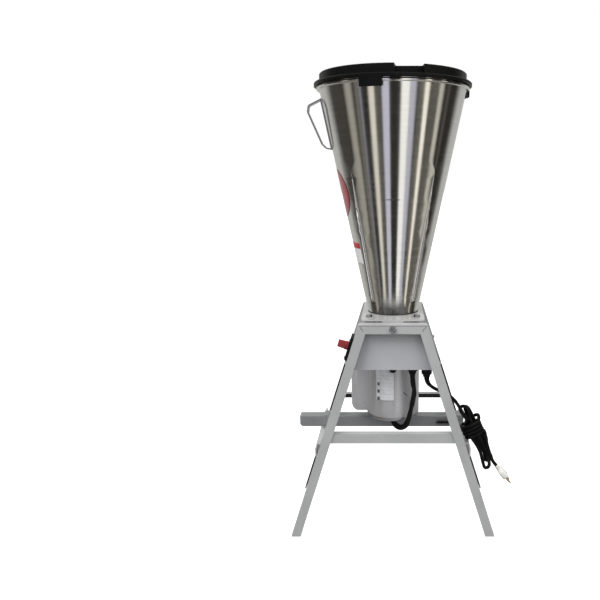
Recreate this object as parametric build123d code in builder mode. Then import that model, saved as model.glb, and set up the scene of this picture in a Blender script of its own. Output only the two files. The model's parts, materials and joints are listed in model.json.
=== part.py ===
# Tilting blender: an angle-iron stand carries a plate on two side pivots,
# and the plate carries the cone bowl above and its motor below.
# Millimetres. The origin is on the floor under the middle of the stand.
# +X is the rear, -X the front with the handle and the switch, +Z is up.
import os
from math import atan, cos, degrees, pi, radians, sin, sqrt

from build123d import *

os.makedirs("parts", exist_ok=True)

# Angle iron of the stand
iron_flange = 22.2
iron_wall = 3.2
corner_radius = 4.0
small_edge = 1.0
foot_half = 252.7
top_half = 80.0
frame_top = 541.5
frame_half_depth = 134.0
mitre_slit = 1.2
mitre_start = 0.16
mitre_end = 0.74

# Bars that tie the side frames
tie_near_top = 269.0
tie_far_top = 284.0
tie_far_flange = 16.0
crossbar_top = 237.0
notch_clearance = 0.3

# Sheet aprons behind the side frames
sheet_wall = 1.5
apron_bottom = 426.0
apron_lip = 24.0
apron_return = 17.0
apron_screw_z = 447.0
apron_screw_radius = 2.5
apron_screw_length = 9.0
apron_screw_across = 8.0
apron_screw_head = 3.5

# Pivot
pivot_radius = 4.0
pivot_head_across = 13.0
pivot_head_height = 5.3
washer_radius = 8.5
washer_wall = 1.6
spacer_radius = 7.0
shim_wall = 3.0
nut_height = 6.8
thread_end = 2.0
bush_radius = 7.0
running_fit = 0.05
hole_fit = 0.25
body_gap = 0.3

# Tilting plate
plate_half_x = 75.0
plate_top = 547.4
plate_wall = 4.0
plate_corner = 6.0
plate_hole = 18.0
ear_half = 26.0
ear_end_radius = 15.0
plate_bolt_x = 57.0
plate_bolt_y = 78.0
plate_bolt_radius = 4.0
plate_bolt_across = 13.0
plate_bolt_head = 5.3

# Bowl
bowl_wall = 1.5
bowl_bottom_wall = 2.0
gasket_height = 2.0
gasket_lip = 0.5
bowl_base_radius = 61.6
bowl_top_radius = 173.6
bowl_top = 1082.3
bead_radius = 3.8
bead_offset = 2.8
bead_drop = 9.0
flute_bottom = 578.0
flute_length = 332.0
flute_radius = 9.5
flute_straight = 150.0
flute_count = 4
flute_start = 45.0
flute_offset = 0.6

# Strap handle on the bowl's front
handle_wall = 3.0
handle_width = 22.0
handle_top_drop = 29.3
handle_elbow_drop = 44.7
handle_elbow_out = 33.3
handle_turn_drop = 59.3
handle_turn_out = 38.3
handle_low_drop = 131.9
handle_low_out = 21.5
handle_toe_drop = 141.3
handle_toe_out = 13.4
handle_foot_drop = 143.6
handle_bend = 6.0

# Lid
lid_brim_drop = 4.3
lid_brim_height = 8.0
lid_crown_inset = 12.6
lid_crown_height = 20.0
lid_wall = 3.4
lid_plug_depth = 18.0
lid_notch_x = 34.6
lid_notch_outer = 66.0
lid_notch_inner = 56.0
lid_notch_depth = 38.0
lid_lug_width = 50.0
lid_lug_height = 19.0
lid_lug_wall = 4.4
lid_lug_gap = 0.7
lid_lug_first = -105.0
lid_lug_count = 3
lid_edge = 2.0

# Motor
motor_radius = 67.0
motor_bottom = 275.6
motor_wall = 3.0
motor_edge = 8.0
bell_seam = 285.2
shell_top = 500.0
spigot = 6.0
stator_radius_in = 38.0
stator_low = 345.0
stator_high = 445.0
winding_height = 20.0
winding_wall = 16.0
motor_plug_z = 413.0
motor_plug_radius = 8.5
motor_plug_proud = 4.0
motor_plug_stem = 5.0
air_gap = 0.5
bearing_low_radius = 20.0
bearing_low_width = 12.0
bearing_low_z = 288.0
bearing_top_radius = 23.5
bearing_top_width = 14.0
bearing_drop = 13.9
boss_wall = 5.5
bell_floor = 5.0
bell_web = 12.0
nut_recess_gap = 2.0
nut_recess_floor = 1.0
shoulder_gap = 1.0
arm_radius = 12.0
arm_height = 8.0
cover_out = 106.0
cover_half = 27.0
cover_low = 291.6
cover_high = 442.0
cover_radius = 18.0
cover_wall = 2.0
capacitor_radius = 16.5
capacitor_length = 100.0

# Shaft, seal and blades
shaft_low_radius = 8.5
shaft_body_radius = 12.0
shaft_top_radius = 10.0
shaft_bowl_radius = 8.0
shaft_thread_radius = 4.0
shaft_foot = 284.0
fan_radius = 48.0
fan_z = 312.0
fan_height = 12.0
fan_blades = 9
fan_blade_wall = 2.0
fan_tip = 2.0
housing_neck = 17.5
housing_flange = 30.0
housing_flange_wall = 4.6
housing_bore = 13.0
housing_top = 568.0
ring_nut_radius = 25.0
ring_nut_height = 7.0
housing_end = 0.5
seal_height = 9.0
hub_radius = 13.0
hub_low = 572.0
hub_height = 14.0
blade_wall = 2.5
blade_length = 50.0
blade_lead = 40.0
blade_root = 11.0
blade_tip = 7.0
blade_pitch = 18.0
cap_nut_across = 17.0
cap_nut_height = 9.0
cap_nut_dome = 2.0

# Front switch
switch_plate_low = 452.5
switch_plate_high = 507.3
switch_plate_width = 49.0
switch_plate_setback = 4.0
switch_plate_wall = 7.0
switch_plate_radius = 4.0
switch_plate_edge = 1.2
switch_setback = 35.0
switch_z = 480.0
switch_body_half = 10.0
switch_body_height = 26.0
switch_body_depth = 20.0
switch_body_radius = 2.0
knob_radius = 10.5
knob_base = 7.0
knob_length = 25.0
knob_grip_wall = 9.0
knob_shaft_radius = 3.0
knob_shaft_length = 18.0
switch_screw_radius = 2.0
switch_screw_head = 3.6
switch_screw_rise = 2.0
switch_screw_inset = 7.0
switch_screw_shift = 2.0

# Lock bar
bar_width = 30.0
bar_height = 28.7
bar_wall = 2.5
bar_centre_y = 12.0
bar_front = -242.0
bar_rear = 184.0
bar_corner = 9.0
guide_length = 14.0
guide_wall = 2.0
guide_foot = 11.0
guide_setback = 7.4
spring_radius = 4.2
spring_wire = 1.3
spring_turns = 12
spring_pin_x = 112.0
spring_pin_radius = 2.0
spring_pin_length = 12.0
spring_offset = 7.0
spring_hook = 3.2
spring_end_gap = 0.3

# Mains cord
cord_diameter = 8.5
gland_x = 81.0
gland_setback = 36.0
gland_radius = 11.0
gland_drop = 21.0
gland_nut_height = 5.0
gland_thread = 8.0
gland_cone_radius = 8.25
gland_cone_height = 7.0
hank_y = 88.0
plug_neck_radius = 6.5
plug_neck_length = 14.0
plug_width = 30.0
plug_depth = 16.0
plug_body_length = 24.0
plug_corner = 5.0
plug_step = 1.5
plug_pin_radius = 2.0
plug_pin_length = 19.0
plug_pin_spread = 9.5
plug_pin_middle = 3.0

# Slack motor harness
harness_diameter = 12.0
grommet_x = 47.0
grommet_setback = 37.0
grommet_drop = 13.0
harness_cut = 78.0

leg_slope = (foot_half - top_half) / frame_top
leg_angle = atan(leg_slope)
frame_inner = frame_half_depth - iron_wall
frame_edge = frame_half_depth - iron_flange
pivot_z = frame_top - iron_flange / 2
plate_bottom = plate_top - plate_wall
apron_inner = frame_edge - sheet_wall
plate_half_y = apron_inner - shim_wall - body_gap
apron_top = frame_top - iron_wall
gland_y = frame_half_depth - gland_setback
grommet_y = frame_half_depth - grommet_setback
gland_bottom = apron_bottom - gland_drop
grommet_bottom = apron_bottom - grommet_drop
bowl_base = plate_top + gasket_height
bowl_slope = (bowl_top_radius - bowl_base_radius) / (bowl_top - plate_top)
bowl_angle = atan(bowl_slope)


def leg_x(height, inset=0.0):
    """Half width of a side frame at a height, moved in square to the leg."""
    return foot_half - leg_slope * height - inset / cos(leg_angle)


def leg_plane(side, height, depth=0.0):
    """Plane on the outer face of the front (-1) or rear (1) legs, its Y up the leg."""
    return Plane(
        origin=(side * leg_x(height), depth, height),
        x_dir=(0, side, 0),
        z_dir=(side * cos(leg_angle), 0, sin(leg_angle)),
    )


def bowl_radius(height, inset=0.0):
    """Radius of the bowl's outer wall at a height, moved in square to the wall."""
    return bowl_base_radius + bowl_slope * (height - plate_top) - inset / cos(bowl_angle)


def trapezoid(low, high, inset, mode=Mode.ADD):
    """Face between two heights that follows the slope of the legs."""
    Polygon(
        (-leg_x(low, inset), low),
        (leg_x(low, inset), low),
        (leg_x(high, inset), high),
        (-leg_x(high, inset), high),
        align=None,
        mode=mode,
    )


def ring(seat, outer, inner, height):
    """Washer, tube or bush that stands on the seat plane."""
    with BuildPart() as tube:
        with BuildSketch(seat):
            Circle(outer)
            Circle(inner, mode=Mode.SUBTRACT)
        extrude(amount=height)
    add(tube.part)


def hex_bolt(seat, across, head, radius, length):
    """Hexagon bolt whose head stands on the seat plane."""
    with BuildPart() as bolt:
        with BuildSketch(seat):
            RegularPolygon(across / 2, 6, major_radius=False)
        extrude(amount=head)
        with BuildSketch(seat):
            Circle(radius)
        extrude(amount=-length)
    add(bolt.part)


def hex_nut(seat, across, height, radius):
    """Hexagon nut that stands on the seat plane."""
    with BuildPart() as nut:
        with BuildSketch(seat):
            RegularPolygon(across / 2, 6, major_radius=False)
            Circle(radius, mode=Mode.SUBTRACT)
        extrude(amount=height)
    add(nut.part)


def save(piece, name):
    """Label a finished piece and write it as its own file."""
    piece.part.label = name
    export_step(piece.part, "parts/" + name + ".step")


# Side frames: one length of angle iron, notched and bent at the two top corners
with BuildPart() as side_frame_near:
    with BuildSketch(Plane.XZ.offset(frame_half_depth)):
        trapezoid(0, frame_top, 0)
        trapezoid(0, frame_top - iron_wall, iron_wall, Mode.SUBTRACT)
    extrude(amount=-iron_flange)
    fillet(side_frame_near.edges().filter_by(Axis.Y).group_by(Axis.Z)[-1], corner_radius)
    with BuildSketch(Plane.XZ.offset(frame_half_depth)):
        trapezoid(0, frame_top - corner_radius, iron_wall)
        trapezoid(0, frame_top - iron_flange, iron_flange, Mode.SUBTRACT)
    extrude(amount=-iron_wall)
    inner_top = frame_top - iron_flange
    inner_half = leg_x(inner_top, iron_flange)
    mitre_x = top_half - inner_half
    mitre_length = sqrt(mitre_x**2 + iron_flange**2)
    mitre_mid = (mitre_start + mitre_end) / 2
    for side in (-1, 1):
        with BuildSketch(Plane.XZ.offset(frame_half_depth)):
            with Locations((side * (top_half - mitre_mid * mitre_x), frame_top - mitre_mid * iron_flange)):
                Rectangle(
                    (mitre_end - mitre_start) * mitre_length,
                    mitre_slit,
                    rotation=side * degrees(atan(iron_flange / mitre_x)),
                )
        extrude(amount=-iron_wall, mode=Mode.SUBTRACT)
    with BuildSketch(Plane.XZ.offset(frame_half_depth)):
        with Locations((0, pivot_z)):
            Circle(pivot_radius + hole_fit)
    extrude(amount=-iron_wall, mode=Mode.SUBTRACT)
    for side in (-1, 1):
        with BuildSketch(leg_plane(side, apron_screw_z, iron_flange / 2 - frame_half_depth)):
            Circle(apron_screw_radius + hole_fit)
        extrude(amount=-2 * iron_wall, mode=Mode.SUBTRACT)
save(side_frame_near, "side_frame_near")

with BuildPart() as side_frame_far:
    add(mirror(side_frame_near.part, about=Plane.XZ))
save(side_frame_far, "side_frame_far")

# Tie bars along the side frames, cut to the slope of the legs
with BuildPart() as tie_bar_near:
    with BuildSketch(Plane.XZ.offset(frame_inner)):
        trapezoid(tie_near_top - iron_flange, tie_near_top, iron_wall)
    extrude(amount=-iron_wall)
    with BuildSketch(Plane.XZ.offset(frame_inner)):
        trapezoid(tie_near_top - iron_wall, tie_near_top, iron_wall)
    extrude(amount=-iron_flange)
save(tie_bar_near, "tie_bar_near")

with BuildPart() as tie_bar_far:
    with BuildSketch(Plane.XZ.offset(-frame_inner)):
        trapezoid(tie_far_top - tie_far_flange, tie_far_top, iron_wall)
    extrude(amount=iron_wall)
    with BuildSketch(Plane.XZ.offset(-frame_inner)):
        trapezoid(tie_far_top - iron_wall, tie_far_top, iron_wall)
    extrude(amount=tie_far_flange)
save(tie_bar_far, "tie_bar_far")

# Cross bars between the side frames, notched round the legs at their ends
crossbar_low = crossbar_top - iron_flange
crossbar_face = leg_x(crossbar_low)
with BuildPart() as crossbar_rear:
    with BuildSketch(Plane.XY.offset(crossbar_low)):
        with Locations((crossbar_face + iron_wall / 2, 0)):
            Rectangle(iron_wall, 2 * frame_half_depth)
    extrude(amount=iron_flange)
    with BuildSketch(Plane.XY.offset(crossbar_top)):
        with Locations((crossbar_face + iron_wall, 0)):
            Rectangle(iron_flange, 2 * (frame_edge - notch_clearance), align=(Align.MAX, Align.CENTER))
    extrude(amount=-iron_wall)
save(crossbar_rear, "crossbar_rear")

with BuildPart() as crossbar_front:
    add(mirror(crossbar_rear.part, about=Plane.YZ))
save(crossbar_front, "crossbar_front")

# Aprons: a sheet with end returns against the legs and a lip at its lower edge
return_top = apron_top - iron_flange
with BuildPart() as apron_near:
    with BuildSketch(Plane.XZ.offset(frame_edge)):
        trapezoid(apron_bottom, apron_top, iron_wall)
    extrude(amount=-sheet_wall)
    with BuildSketch(Plane.XZ.offset(frame_edge)):
        trapezoid(apron_bottom, return_top, iron_wall)
        trapezoid(apron_bottom, return_top, iron_wall + sheet_wall, Mode.SUBTRACT)
    extrude(amount=apron_return)
    with BuildSketch(Plane.XZ.offset(apron_inner)):
        trapezoid(apron_bottom, apron_bottom + sheet_wall, iron_wall)
    extrude(amount=sheet_wall - apron_lip)
    with BuildSketch(Plane.XZ.offset(frame_edge)):
        with Locations((0, pivot_z)):
            Circle(pivot_radius + hole_fit)
    extrude(amount=-sheet_wall, mode=Mode.SUBTRACT)
    for side in (-1, 1):
        with BuildSketch(leg_plane(side, apron_screw_z, iron_flange / 2 - frame_half_depth)):
            Circle(apron_screw_radius + hole_fit)
        extrude(amount=-2 * iron_wall, mode=Mode.SUBTRACT)
with BuildPart() as apron_far:
    add(mirror(apron_near.part, about=Plane.XZ))
save(apron_far, "apron_far")
with BuildPart() as apron_near_bored:
    add(apron_near.part)
    with BuildSketch(Plane.XY.offset(apron_bottom)):
        with Locations((gland_x, -gland_y), (grommet_x, -grommet_y)):
            Circle(gland_thread + hole_fit)
    extrude(amount=sheet_wall, mode=Mode.SUBTRACT)
save(apron_near_bored, "apron_near")

with BuildPart() as apron_screws:
    for side in (-1, 1):
        for face in (-1, 1):
            seat = leg_plane(side, apron_screw_z, face * (frame_half_depth - iron_flange / 2))
            hex_bolt(seat, apron_screw_across, apron_screw_head, apron_screw_radius, apron_screw_length)
save(apron_screws, "apron_screws")

# Pivot bolts with their washers, spacers, shims and nuts, one set each side
ear_inner = plate_half_y - plate_wall
with BuildPart() as pivot_washers:
    for face in (-1, 1):
        seat = Plane((0, face * frame_half_depth, pivot_z), x_dir=(1, 0, 0), z_dir=(0, face, 0))
        ring(seat, washer_radius, pivot_radius + hole_fit, washer_wall)
save(pivot_washers, "pivot_washers")

with BuildPart() as pivot_bolts:
    for face in (-1, 1):
        seat_y = frame_half_depth + washer_wall
        seat = Plane((0, face * seat_y, pivot_z), x_dir=(1, 0, 0), z_dir=(0, face, 0))
        bolt_end = ear_inner - body_gap - washer_wall - nut_height - thread_end
        hex_bolt(seat, pivot_head_across, pivot_head_height, pivot_radius, seat_y - bolt_end)
save(pivot_bolts, "pivot_bolts")

with BuildPart() as pivot_spacers:
    for face in (-1, 1):
        seat = Plane((0, face * frame_edge, pivot_z), x_dir=(1, 0, 0), z_dir=(0, face, 0))
        ring(seat, spacer_radius, pivot_radius + hole_fit, frame_inner - frame_edge)
save(pivot_spacers, "pivot_spacers")

with BuildPart() as pivot_shims:
    for face in (-1, 1):
        seat = Plane((0, face * apron_inner, pivot_z), x_dir=(1, 0, 0), z_dir=(0, -face, 0))
        ring(seat, washer_radius, pivot_radius + hole_fit, shim_wall)
save(pivot_shims, "pivot_shims")

with BuildPart() as pivot_nuts:
    for face in (-1, 1):
        seat = Plane((0, face * (ear_inner - body_gap), pivot_z), x_dir=(1, 0, 0), z_dir=(0, -face, 0))
        ring(seat, washer_radius, pivot_radius, washer_wall)
        hex_nut(seat.offset(washer_wall), pivot_head_across, nut_height, pivot_radius)
save(pivot_nuts, "pivot_nuts")

# Tilting plate with its two pivot ears
with BuildPart() as tilt_plate:
    with BuildSketch(Plane.XY.offset(plate_bottom)):
        RectangleRounded(2 * plate_half_x, 2 * plate_half_y, plate_corner)
        Circle(plate_hole, mode=Mode.SUBTRACT)
        with GridLocations(2 * plate_bolt_x, 2 * plate_bolt_y, 2, 2):
            Circle(plate_bolt_radius + hole_fit, mode=Mode.SUBTRACT)
    extrude(amount=plate_wall)
    for face in (-1, 1):
        ear_plane = Plane((0, face * ear_inner, pivot_z), x_dir=(-face, 0, 0), z_dir=(0, face, 0))
        with BuildSketch(ear_plane):
            with BuildLine():
                Polyline(
                    (-ear_half, plate_bottom - pivot_z),
                    (-ear_end_radius, 0),
                    (ear_end_radius, 0),
                    (ear_half, plate_bottom - pivot_z),
                    close=True,
                )
            make_face()
            Circle(ear_end_radius)
            Circle(bush_radius, mode=Mode.SUBTRACT)
        extrude(amount=plate_wall)
save(tilt_plate, "tilt_plate")

with BuildPart() as pivot_bushes:
    for face in (-1, 1):
        seat = Plane((0, face * ear_inner, pivot_z), x_dir=(1, 0, 0), z_dir=(0, face, 0))
        ring(seat, bush_radius, pivot_radius + running_fit, plate_wall)
save(pivot_bushes, "pivot_bushes")

with BuildPart() as plate_bolts:
    for bolt_x in (-plate_bolt_x, plate_bolt_x):
        for bolt_y in (-plate_bolt_y, plate_bolt_y):
            seat = Plane((bolt_x, bolt_y, plate_top), z_dir=(0, 0, 1))
            grip = plate_wall + arm_height
            bolt_length = grip + nut_height + thread_end
            hex_bolt(seat, plate_bolt_across, plate_bolt_head, plate_bolt_radius, bolt_length)
            hex_nut(seat.offset(-grip - nut_height), plate_bolt_across, nut_height, plate_bolt_radius)
save(plate_bolts, "plate_bolts")

# Bowl: spun cone with a rolled bead at the rim and four pressed flutes
wall_out = (cos(bowl_angle), 0, -sin(bowl_angle))
wall_up = (sin(bowl_angle), 0, cos(bowl_angle))
flute_foot = (bowl_radius(flute_bottom, -flute_offset), 0, flute_bottom)


def flute(radius, overlap):
    """Spindle along the wall: round at its lower end, tapered to a point above."""
    low = -overlap
    with BuildPart() as spindle:
        with BuildSketch(Plane(flute_foot, x_dir=wall_out, z_dir=(0, -1, 0))):
            with BuildLine():
                arc = ThreePointArc(
                    (0, low),
                    (radius * sin(radians(45)), low + radius * (1 - cos(radians(45)))),
                    (radius, low + radius),
                )
                side = Line(arc @ 1, (radius, flute_straight))
                taper = Line(side @ 1, (0, flute_length + overlap * flute_length / radius))
                Line(taper @ 1, arc @ 0)
            make_face()
        revolve(axis=Axis(flute_foot, wall_up))
    return spindle.part


inner_flute = flute(flute_radius + bowl_wall, bowl_wall)
outer_flute = flute(flute_radius, 0.0)

with BuildPart() as bowl_core:
    with BuildSketch(Plane.XZ):
        with BuildLine():
            floor_z = bowl_base + bowl_bottom_wall
            Polyline(
                (0, floor_z),
                (bowl_radius(floor_z, bowl_wall), floor_z),
                (bowl_radius(bowl_top, bowl_wall), bowl_top),
                (0, bowl_top),
                close=True,
            )
        make_face()
    revolve(axis=Axis.Z)
    for place in range(flute_count):
        add(inner_flute.rotate(Axis.Z, flute_start + 360 / flute_count * place), mode=Mode.SUBTRACT)

with BuildPart() as bowl:
    with BuildSketch(Plane.XZ):
        with BuildLine():
            Polyline(
                (0, bowl_base),
                (bowl_radius(bowl_base), bowl_base),
                (bowl_top_radius, bowl_top),
                (0, bowl_top),
                close=True,
            )
        make_face()
        bead_z = bowl_top - bead_drop
        with Locations((bowl_radius(bead_z) + bead_offset, bead_z)):
            Circle(bead_radius)
    revolve(axis=Axis.Z)
    for place in range(flute_count):
        add(outer_flute.rotate(Axis.Z, flute_start + 360 / flute_count * place), mode=Mode.SUBTRACT)
    add(bowl_core.part, mode=Mode.SUBTRACT)
    with BuildSketch(Plane.XY.offset(bowl_base)):
        Circle(housing_neck + hole_fit)
    extrude(amount=bowl_bottom_wall, mode=Mode.SUBTRACT)
save(bowl, "bowl")

with BuildPart() as bowl_gasket:
    ring(Plane.XY.offset(plate_top), bowl_radius(bowl_base) + gasket_lip, housing_neck + hole_fit, gasket_height)
save(bowl_gasket, "bowl_gasket")

# Strap handle: flat bar bent into a closed loop whose inner leg lies on the bowl's wall
def handle_point(drop, out):
    """Point in front of the bowl's wall, measured down from the rim and out from the wall."""
    return (-bowl_radius(bowl_top - drop) - out, bowl_top - drop)


with BuildPart() as bowl_handle:
    with BuildSketch(Plane.XZ.offset(-handle_width / 2)):
        with BuildLine() as handle_line:
            FilletPolyline(
                handle_point(handle_top_drop, -bowl_wall),
                handle_point(handle_elbow_drop, handle_elbow_out),
                handle_point(handle_turn_drop, handle_turn_out),
                handle_point(handle_low_drop, handle_low_out),
                handle_point(handle_toe_drop, handle_toe_out),
                handle_point(handle_foot_drop, -bowl_wall),
                radius=handle_bend,
            )
        trace(line_width=handle_wall)
        with BuildLine():
            Polyline(
                handle_point(handle_top_drop, -bowl_wall),
                handle_point(handle_top_drop, handle_wall),
                handle_point(handle_foot_drop, handle_wall),
                handle_point(handle_foot_drop, -bowl_wall),
                close=True,
            )
        make_face()
    extrude(amount=handle_width)
    with BuildSketch(Plane.XZ):
        with BuildLine():
            Polyline(
                (0, bowl_base),
                (bowl_radius(bowl_base), bowl_base),
                (bowl_top_radius, bowl_top),
                (0, bowl_top),
                close=True,
            )
        make_face()
    revolve(axis=Axis.Z, mode=Mode.SUBTRACT)
save(bowl_handle, "bowl_handle")

# Seal housing, its ring nut under the plate, and the shaft seal
floor_z = bowl_base + bowl_bottom_wall
housing_low = plate_bottom - ring_nut_height - housing_end
with BuildPart() as seal_housing:
    ring(Plane.XY.offset(housing_low), housing_neck, housing_bore, housing_top - housing_low)
    ring(Plane.XY.offset(floor_z), housing_flange, housing_neck, housing_flange_wall)
    chamfer(seal_housing.edges().filter_by(GeomType.CIRCLE).group_by(Axis.Z)[-1][-1], small_edge)
save(seal_housing, "seal_housing")

with BuildPart() as ring_nut:
    ring(Plane.XY.offset(plate_bottom), ring_nut_radius, housing_neck, -ring_nut_height)
save(ring_nut, "ring_nut")

with BuildPart() as shaft_seal:
    ring(Plane.XY.offset(housing_top - seal_height), housing_bore, shaft_bowl_radius + running_fit, seal_height)
save(shaft_seal, "shaft_seal")

# Lid: moulded crown over a brim, a plug inside the bowl and lugs outside it
lug_inner = bowl_radius(bowl_top - bead_drop) + bead_offset + bead_radius + lid_lug_gap
lid_brim_radius = lug_inner + lid_lug_wall
lid_crown_radius = lid_brim_radius - lid_crown_inset
lid_brim_low = bowl_top - lid_brim_drop
lid_brim_top = lid_brim_low + lid_brim_height
lid_crown_top = lid_brim_top + lid_crown_height
lug_low = lid_brim_low - lid_lug_height
lid_seat = bowl_top + body_gap
plug_low = bowl_top - lid_plug_depth
notch_out_y = -lid_crown_radius - lid_wall
notch_in_y = -sqrt(lid_crown_radius**2 - lid_notch_x**2) + lid_notch_depth


def notch_outline(grow):
    """Notch in the crown, wider at its mouth."""
    Polygon(
        (lid_notch_x - lid_notch_outer / 2 - grow, notch_out_y),
        (lid_notch_x + lid_notch_outer / 2 + grow, notch_out_y),
        (lid_notch_x + lid_notch_inner / 2 + grow, notch_in_y + grow),
        (lid_notch_x - lid_notch_inner / 2 - grow, notch_in_y + grow),
        align=None,
    )


with BuildPart() as lid_hollow:
    with BuildSketch(Plane.XZ):
        with BuildLine():
            Polyline(
                (0, plug_low),
                (bowl_radius(plug_low, bowl_wall) - body_gap - lid_wall, plug_low),
                (lid_crown_radius - lid_wall, lid_seat),
                (lid_crown_radius - lid_wall, lid_crown_top - lid_wall),
                (0, lid_crown_top - lid_wall),
                close=True,
            )
        make_face()
    revolve(axis=Axis.Z)
    with BuildSketch(Plane.XY.offset(lid_brim_top - lid_wall)):
        notch_outline(lid_wall)
    extrude(amount=lid_crown_top - lid_brim_top + lid_wall, mode=Mode.SUBTRACT)

with BuildPart() as lid:
    with BuildSketch(Plane.XZ):
        with BuildLine():
            Polyline(
                (0, lid_crown_top),
                (lid_crown_radius - lid_edge, lid_crown_top),
                (lid_crown_radius, lid_crown_top - lid_edge),
                (lid_crown_radius, lid_brim_top),
                (lid_brim_radius - lid_edge, lid_brim_top),
                (lid_brim_radius, lid_brim_top - lid_edge),
                (lid_brim_radius, lid_brim_low),
                (bowl_top_radius + body_gap, lid_brim_low),
                (bowl_top_radius + body_gap, lid_seat),
                (bowl_radius(lid_seat, bowl_wall) - body_gap, lid_seat),
                (bowl_radius(plug_low, bowl_wall) - body_gap, plug_low),
                (0, plug_low),
                close=True,
            )
        make_face()
    revolve(axis=Axis.Z)
    add(lid_hollow.part, mode=Mode.SUBTRACT)
    with BuildSketch(Plane.XY.offset(lid_brim_top)):
        notch_outline(0.0)
    extrude(amount=lid_crown_top - lid_brim_top, mode=Mode.SUBTRACT)
    lug_arc = degrees(lid_lug_width / lid_brim_radius)
    for lug in range(lid_lug_count):
        lug_angle = radians(lid_lug_first + 360 / lid_lug_count * lug - lug_arc / 2)
        lug_plane = Plane(
            (0, 0, 0),
            x_dir=(cos(lug_angle), sin(lug_angle), 0),
            z_dir=(sin(lug_angle), -cos(lug_angle), 0),
        )
        with BuildSketch(lug_plane):
            with BuildLine():
                Polyline(
                    (lug_inner, lid_brim_low),
                    (lid_brim_radius, lid_brim_low),
                    (lid_brim_radius, lug_low + lid_edge),
                    (lid_brim_radius - lid_edge, lug_low),
                    (lug_inner, lug_low),
                    close=True,
                )
            make_face()
        revolve(axis=Axis.Z, revolution_arc=lug_arc)
save(lid, "lid")

# Motor housing: rolled shell between two bells, hung from the plate by four arms
shell_inner = motor_radius - motor_wall
spigot_outer = shell_inner - running_fit
with BuildPart() as motor_shell:
    ring(Plane.XY.offset(bell_seam), motor_radius, shell_inner, shell_top - bell_seam)
    with BuildSketch(Plane.XZ.offset(shell_inner - motor_wall)):
        with Locations((0, motor_plug_z)):
            Circle(motor_plug_stem + running_fit)
    extrude(amount=3 * motor_wall, mode=Mode.SUBTRACT)
save(motor_shell, "motor_shell")

with BuildPart() as motor_plug:
    with BuildSketch(Plane.XZ.offset(motor_radius - motor_wall)):
        with Locations((0, motor_plug_z)):
            Circle(motor_plug_radius)
    extrude(amount=motor_wall + motor_plug_proud)
    fillet(motor_plug.faces().sort_by(Axis.Y)[0].edges(), motor_plug_proud / 2)
    with BuildSketch(Plane.XY.offset(bell_seam)):
        Circle(motor_radius)
    extrude(amount=shell_top - bell_seam, mode=Mode.SUBTRACT)
    with BuildSketch(Plane.XZ.offset(shell_inner)):
        with Locations((0, motor_plug_z)):
            Circle(motor_plug_stem)
    extrude(amount=motor_wall + motor_plug_proud / 2)
save(motor_plug, "motor_plug")

low_boss = bearing_low_radius + boss_wall
harness_route = [
    (grommet_x, -grommet_y, grommet_bottom),
    (grommet_x, -grommet_y, 389.0),
    (53.0, -88.0, 366.0),
    (50.0, -81.0, 341.0),
    (45.0, -76.0, 314.0),
    (37.0, -74.0, 284.0),
    (24.0, -62.0, 252.0),
    (8.0, -46.0, 240.0),
    (0.0, -36.0, 251.0),
    (0.0, -36.0, motor_bottom + bell_floor),
]
harness_end = Vector(*harness_route[-1]) - Vector(*harness_route[-2])
with BuildPart() as motor_lower_bell:
    with BuildSketch(Plane.XZ):
        with BuildLine():
            base = Line((0, motor_bottom), (motor_radius - motor_edge, motor_bottom))
            edge = RadiusArc(
                base @ 1,
                (motor_radius, motor_bottom + motor_edge),
                -motor_edge,
            )
            Polyline(
                edge @ 1,
                (motor_radius, bell_seam),
                (spigot_outer, bell_seam),
                (spigot_outer, bell_seam + spigot),
                (spigot_outer - motor_wall, bell_seam + spigot),
                (spigot_outer - motor_wall, motor_bottom + bell_floor),
                (low_boss, motor_bottom + bell_floor),
                (low_boss, bearing_low_z + bearing_low_width),
                (bearing_low_radius, bearing_low_z + bearing_low_width),
                (bearing_low_radius, bearing_low_z),
                (shaft_body_radius, bearing_low_z),
                (shaft_body_radius, motor_bottom + bell_floor),
                (0, motor_bottom + bell_floor),
                (0, motor_bottom),
            )
        make_face()
    revolve(axis=Axis.Z)
    with BuildSketch(Plane(harness_route[-1], z_dir=harness_end)):
        Circle(harness_diameter / 2 + hole_fit)
    extrude(amount=2 * bell_floor, both=True, mode=Mode.SUBTRACT)
save(motor_lower_bell, "motor_lower_bell")

top_boss = bearing_top_radius + boss_wall
web_low = plate_bottom - bell_web
nut_recess = ring_nut_radius + nut_recess_gap
recess_low = housing_low - nut_recess_floor
bearing_top_z = recess_low - bearing_drop - bearing_top_width
with BuildPart() as motor_upper_bell:
    with BuildSketch(Plane.XZ):
        with BuildLine():
            Polyline(
                (motor_radius, shell_top),
                (motor_radius, plate_bottom),
                (nut_recess, plate_bottom),
                (nut_recess, recess_low),
                (shaft_body_radius, recess_low),
                (shaft_body_radius, bearing_top_z + bearing_top_width),
                (bearing_top_radius, bearing_top_z + bearing_top_width),
                (bearing_top_radius, bearing_top_z),
                (top_boss, bearing_top_z),
                (top_boss, web_low - boss_wall),
                (spigot_outer - motor_wall, web_low - boss_wall),
                (spigot_outer - motor_wall, shell_top - spigot),
                (spigot_outer, shell_top - spigot),
                (spigot_outer, shell_top),
                close=True,
            )
        make_face()
    revolve(axis=Axis.Z)
    with BuildSketch(Plane.XY.offset(plate_bottom)) as arms:
        for arm_x in (-plate_bolt_x, plate_bolt_x):
            for arm_y in (-plate_bolt_y, plate_bolt_y):
                with BuildLine():
                    Line((arm_x / 2, arm_y / 2), (arm_x, arm_y))
                trace(line_width=2 * arm_radius)
                with Locations((arm_x, arm_y)):
                    Circle(arm_radius)
        with GridLocations(2 * plate_bolt_x, 2 * plate_bolt_y, 2, 2):
            Circle(plate_bolt_radius + hole_fit, mode=Mode.SUBTRACT)
        Circle(nut_recess + boss_wall, mode=Mode.SUBTRACT)
    extrude(amount=-arm_height)
save(motor_upper_bell, "motor_upper_bell")

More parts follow.
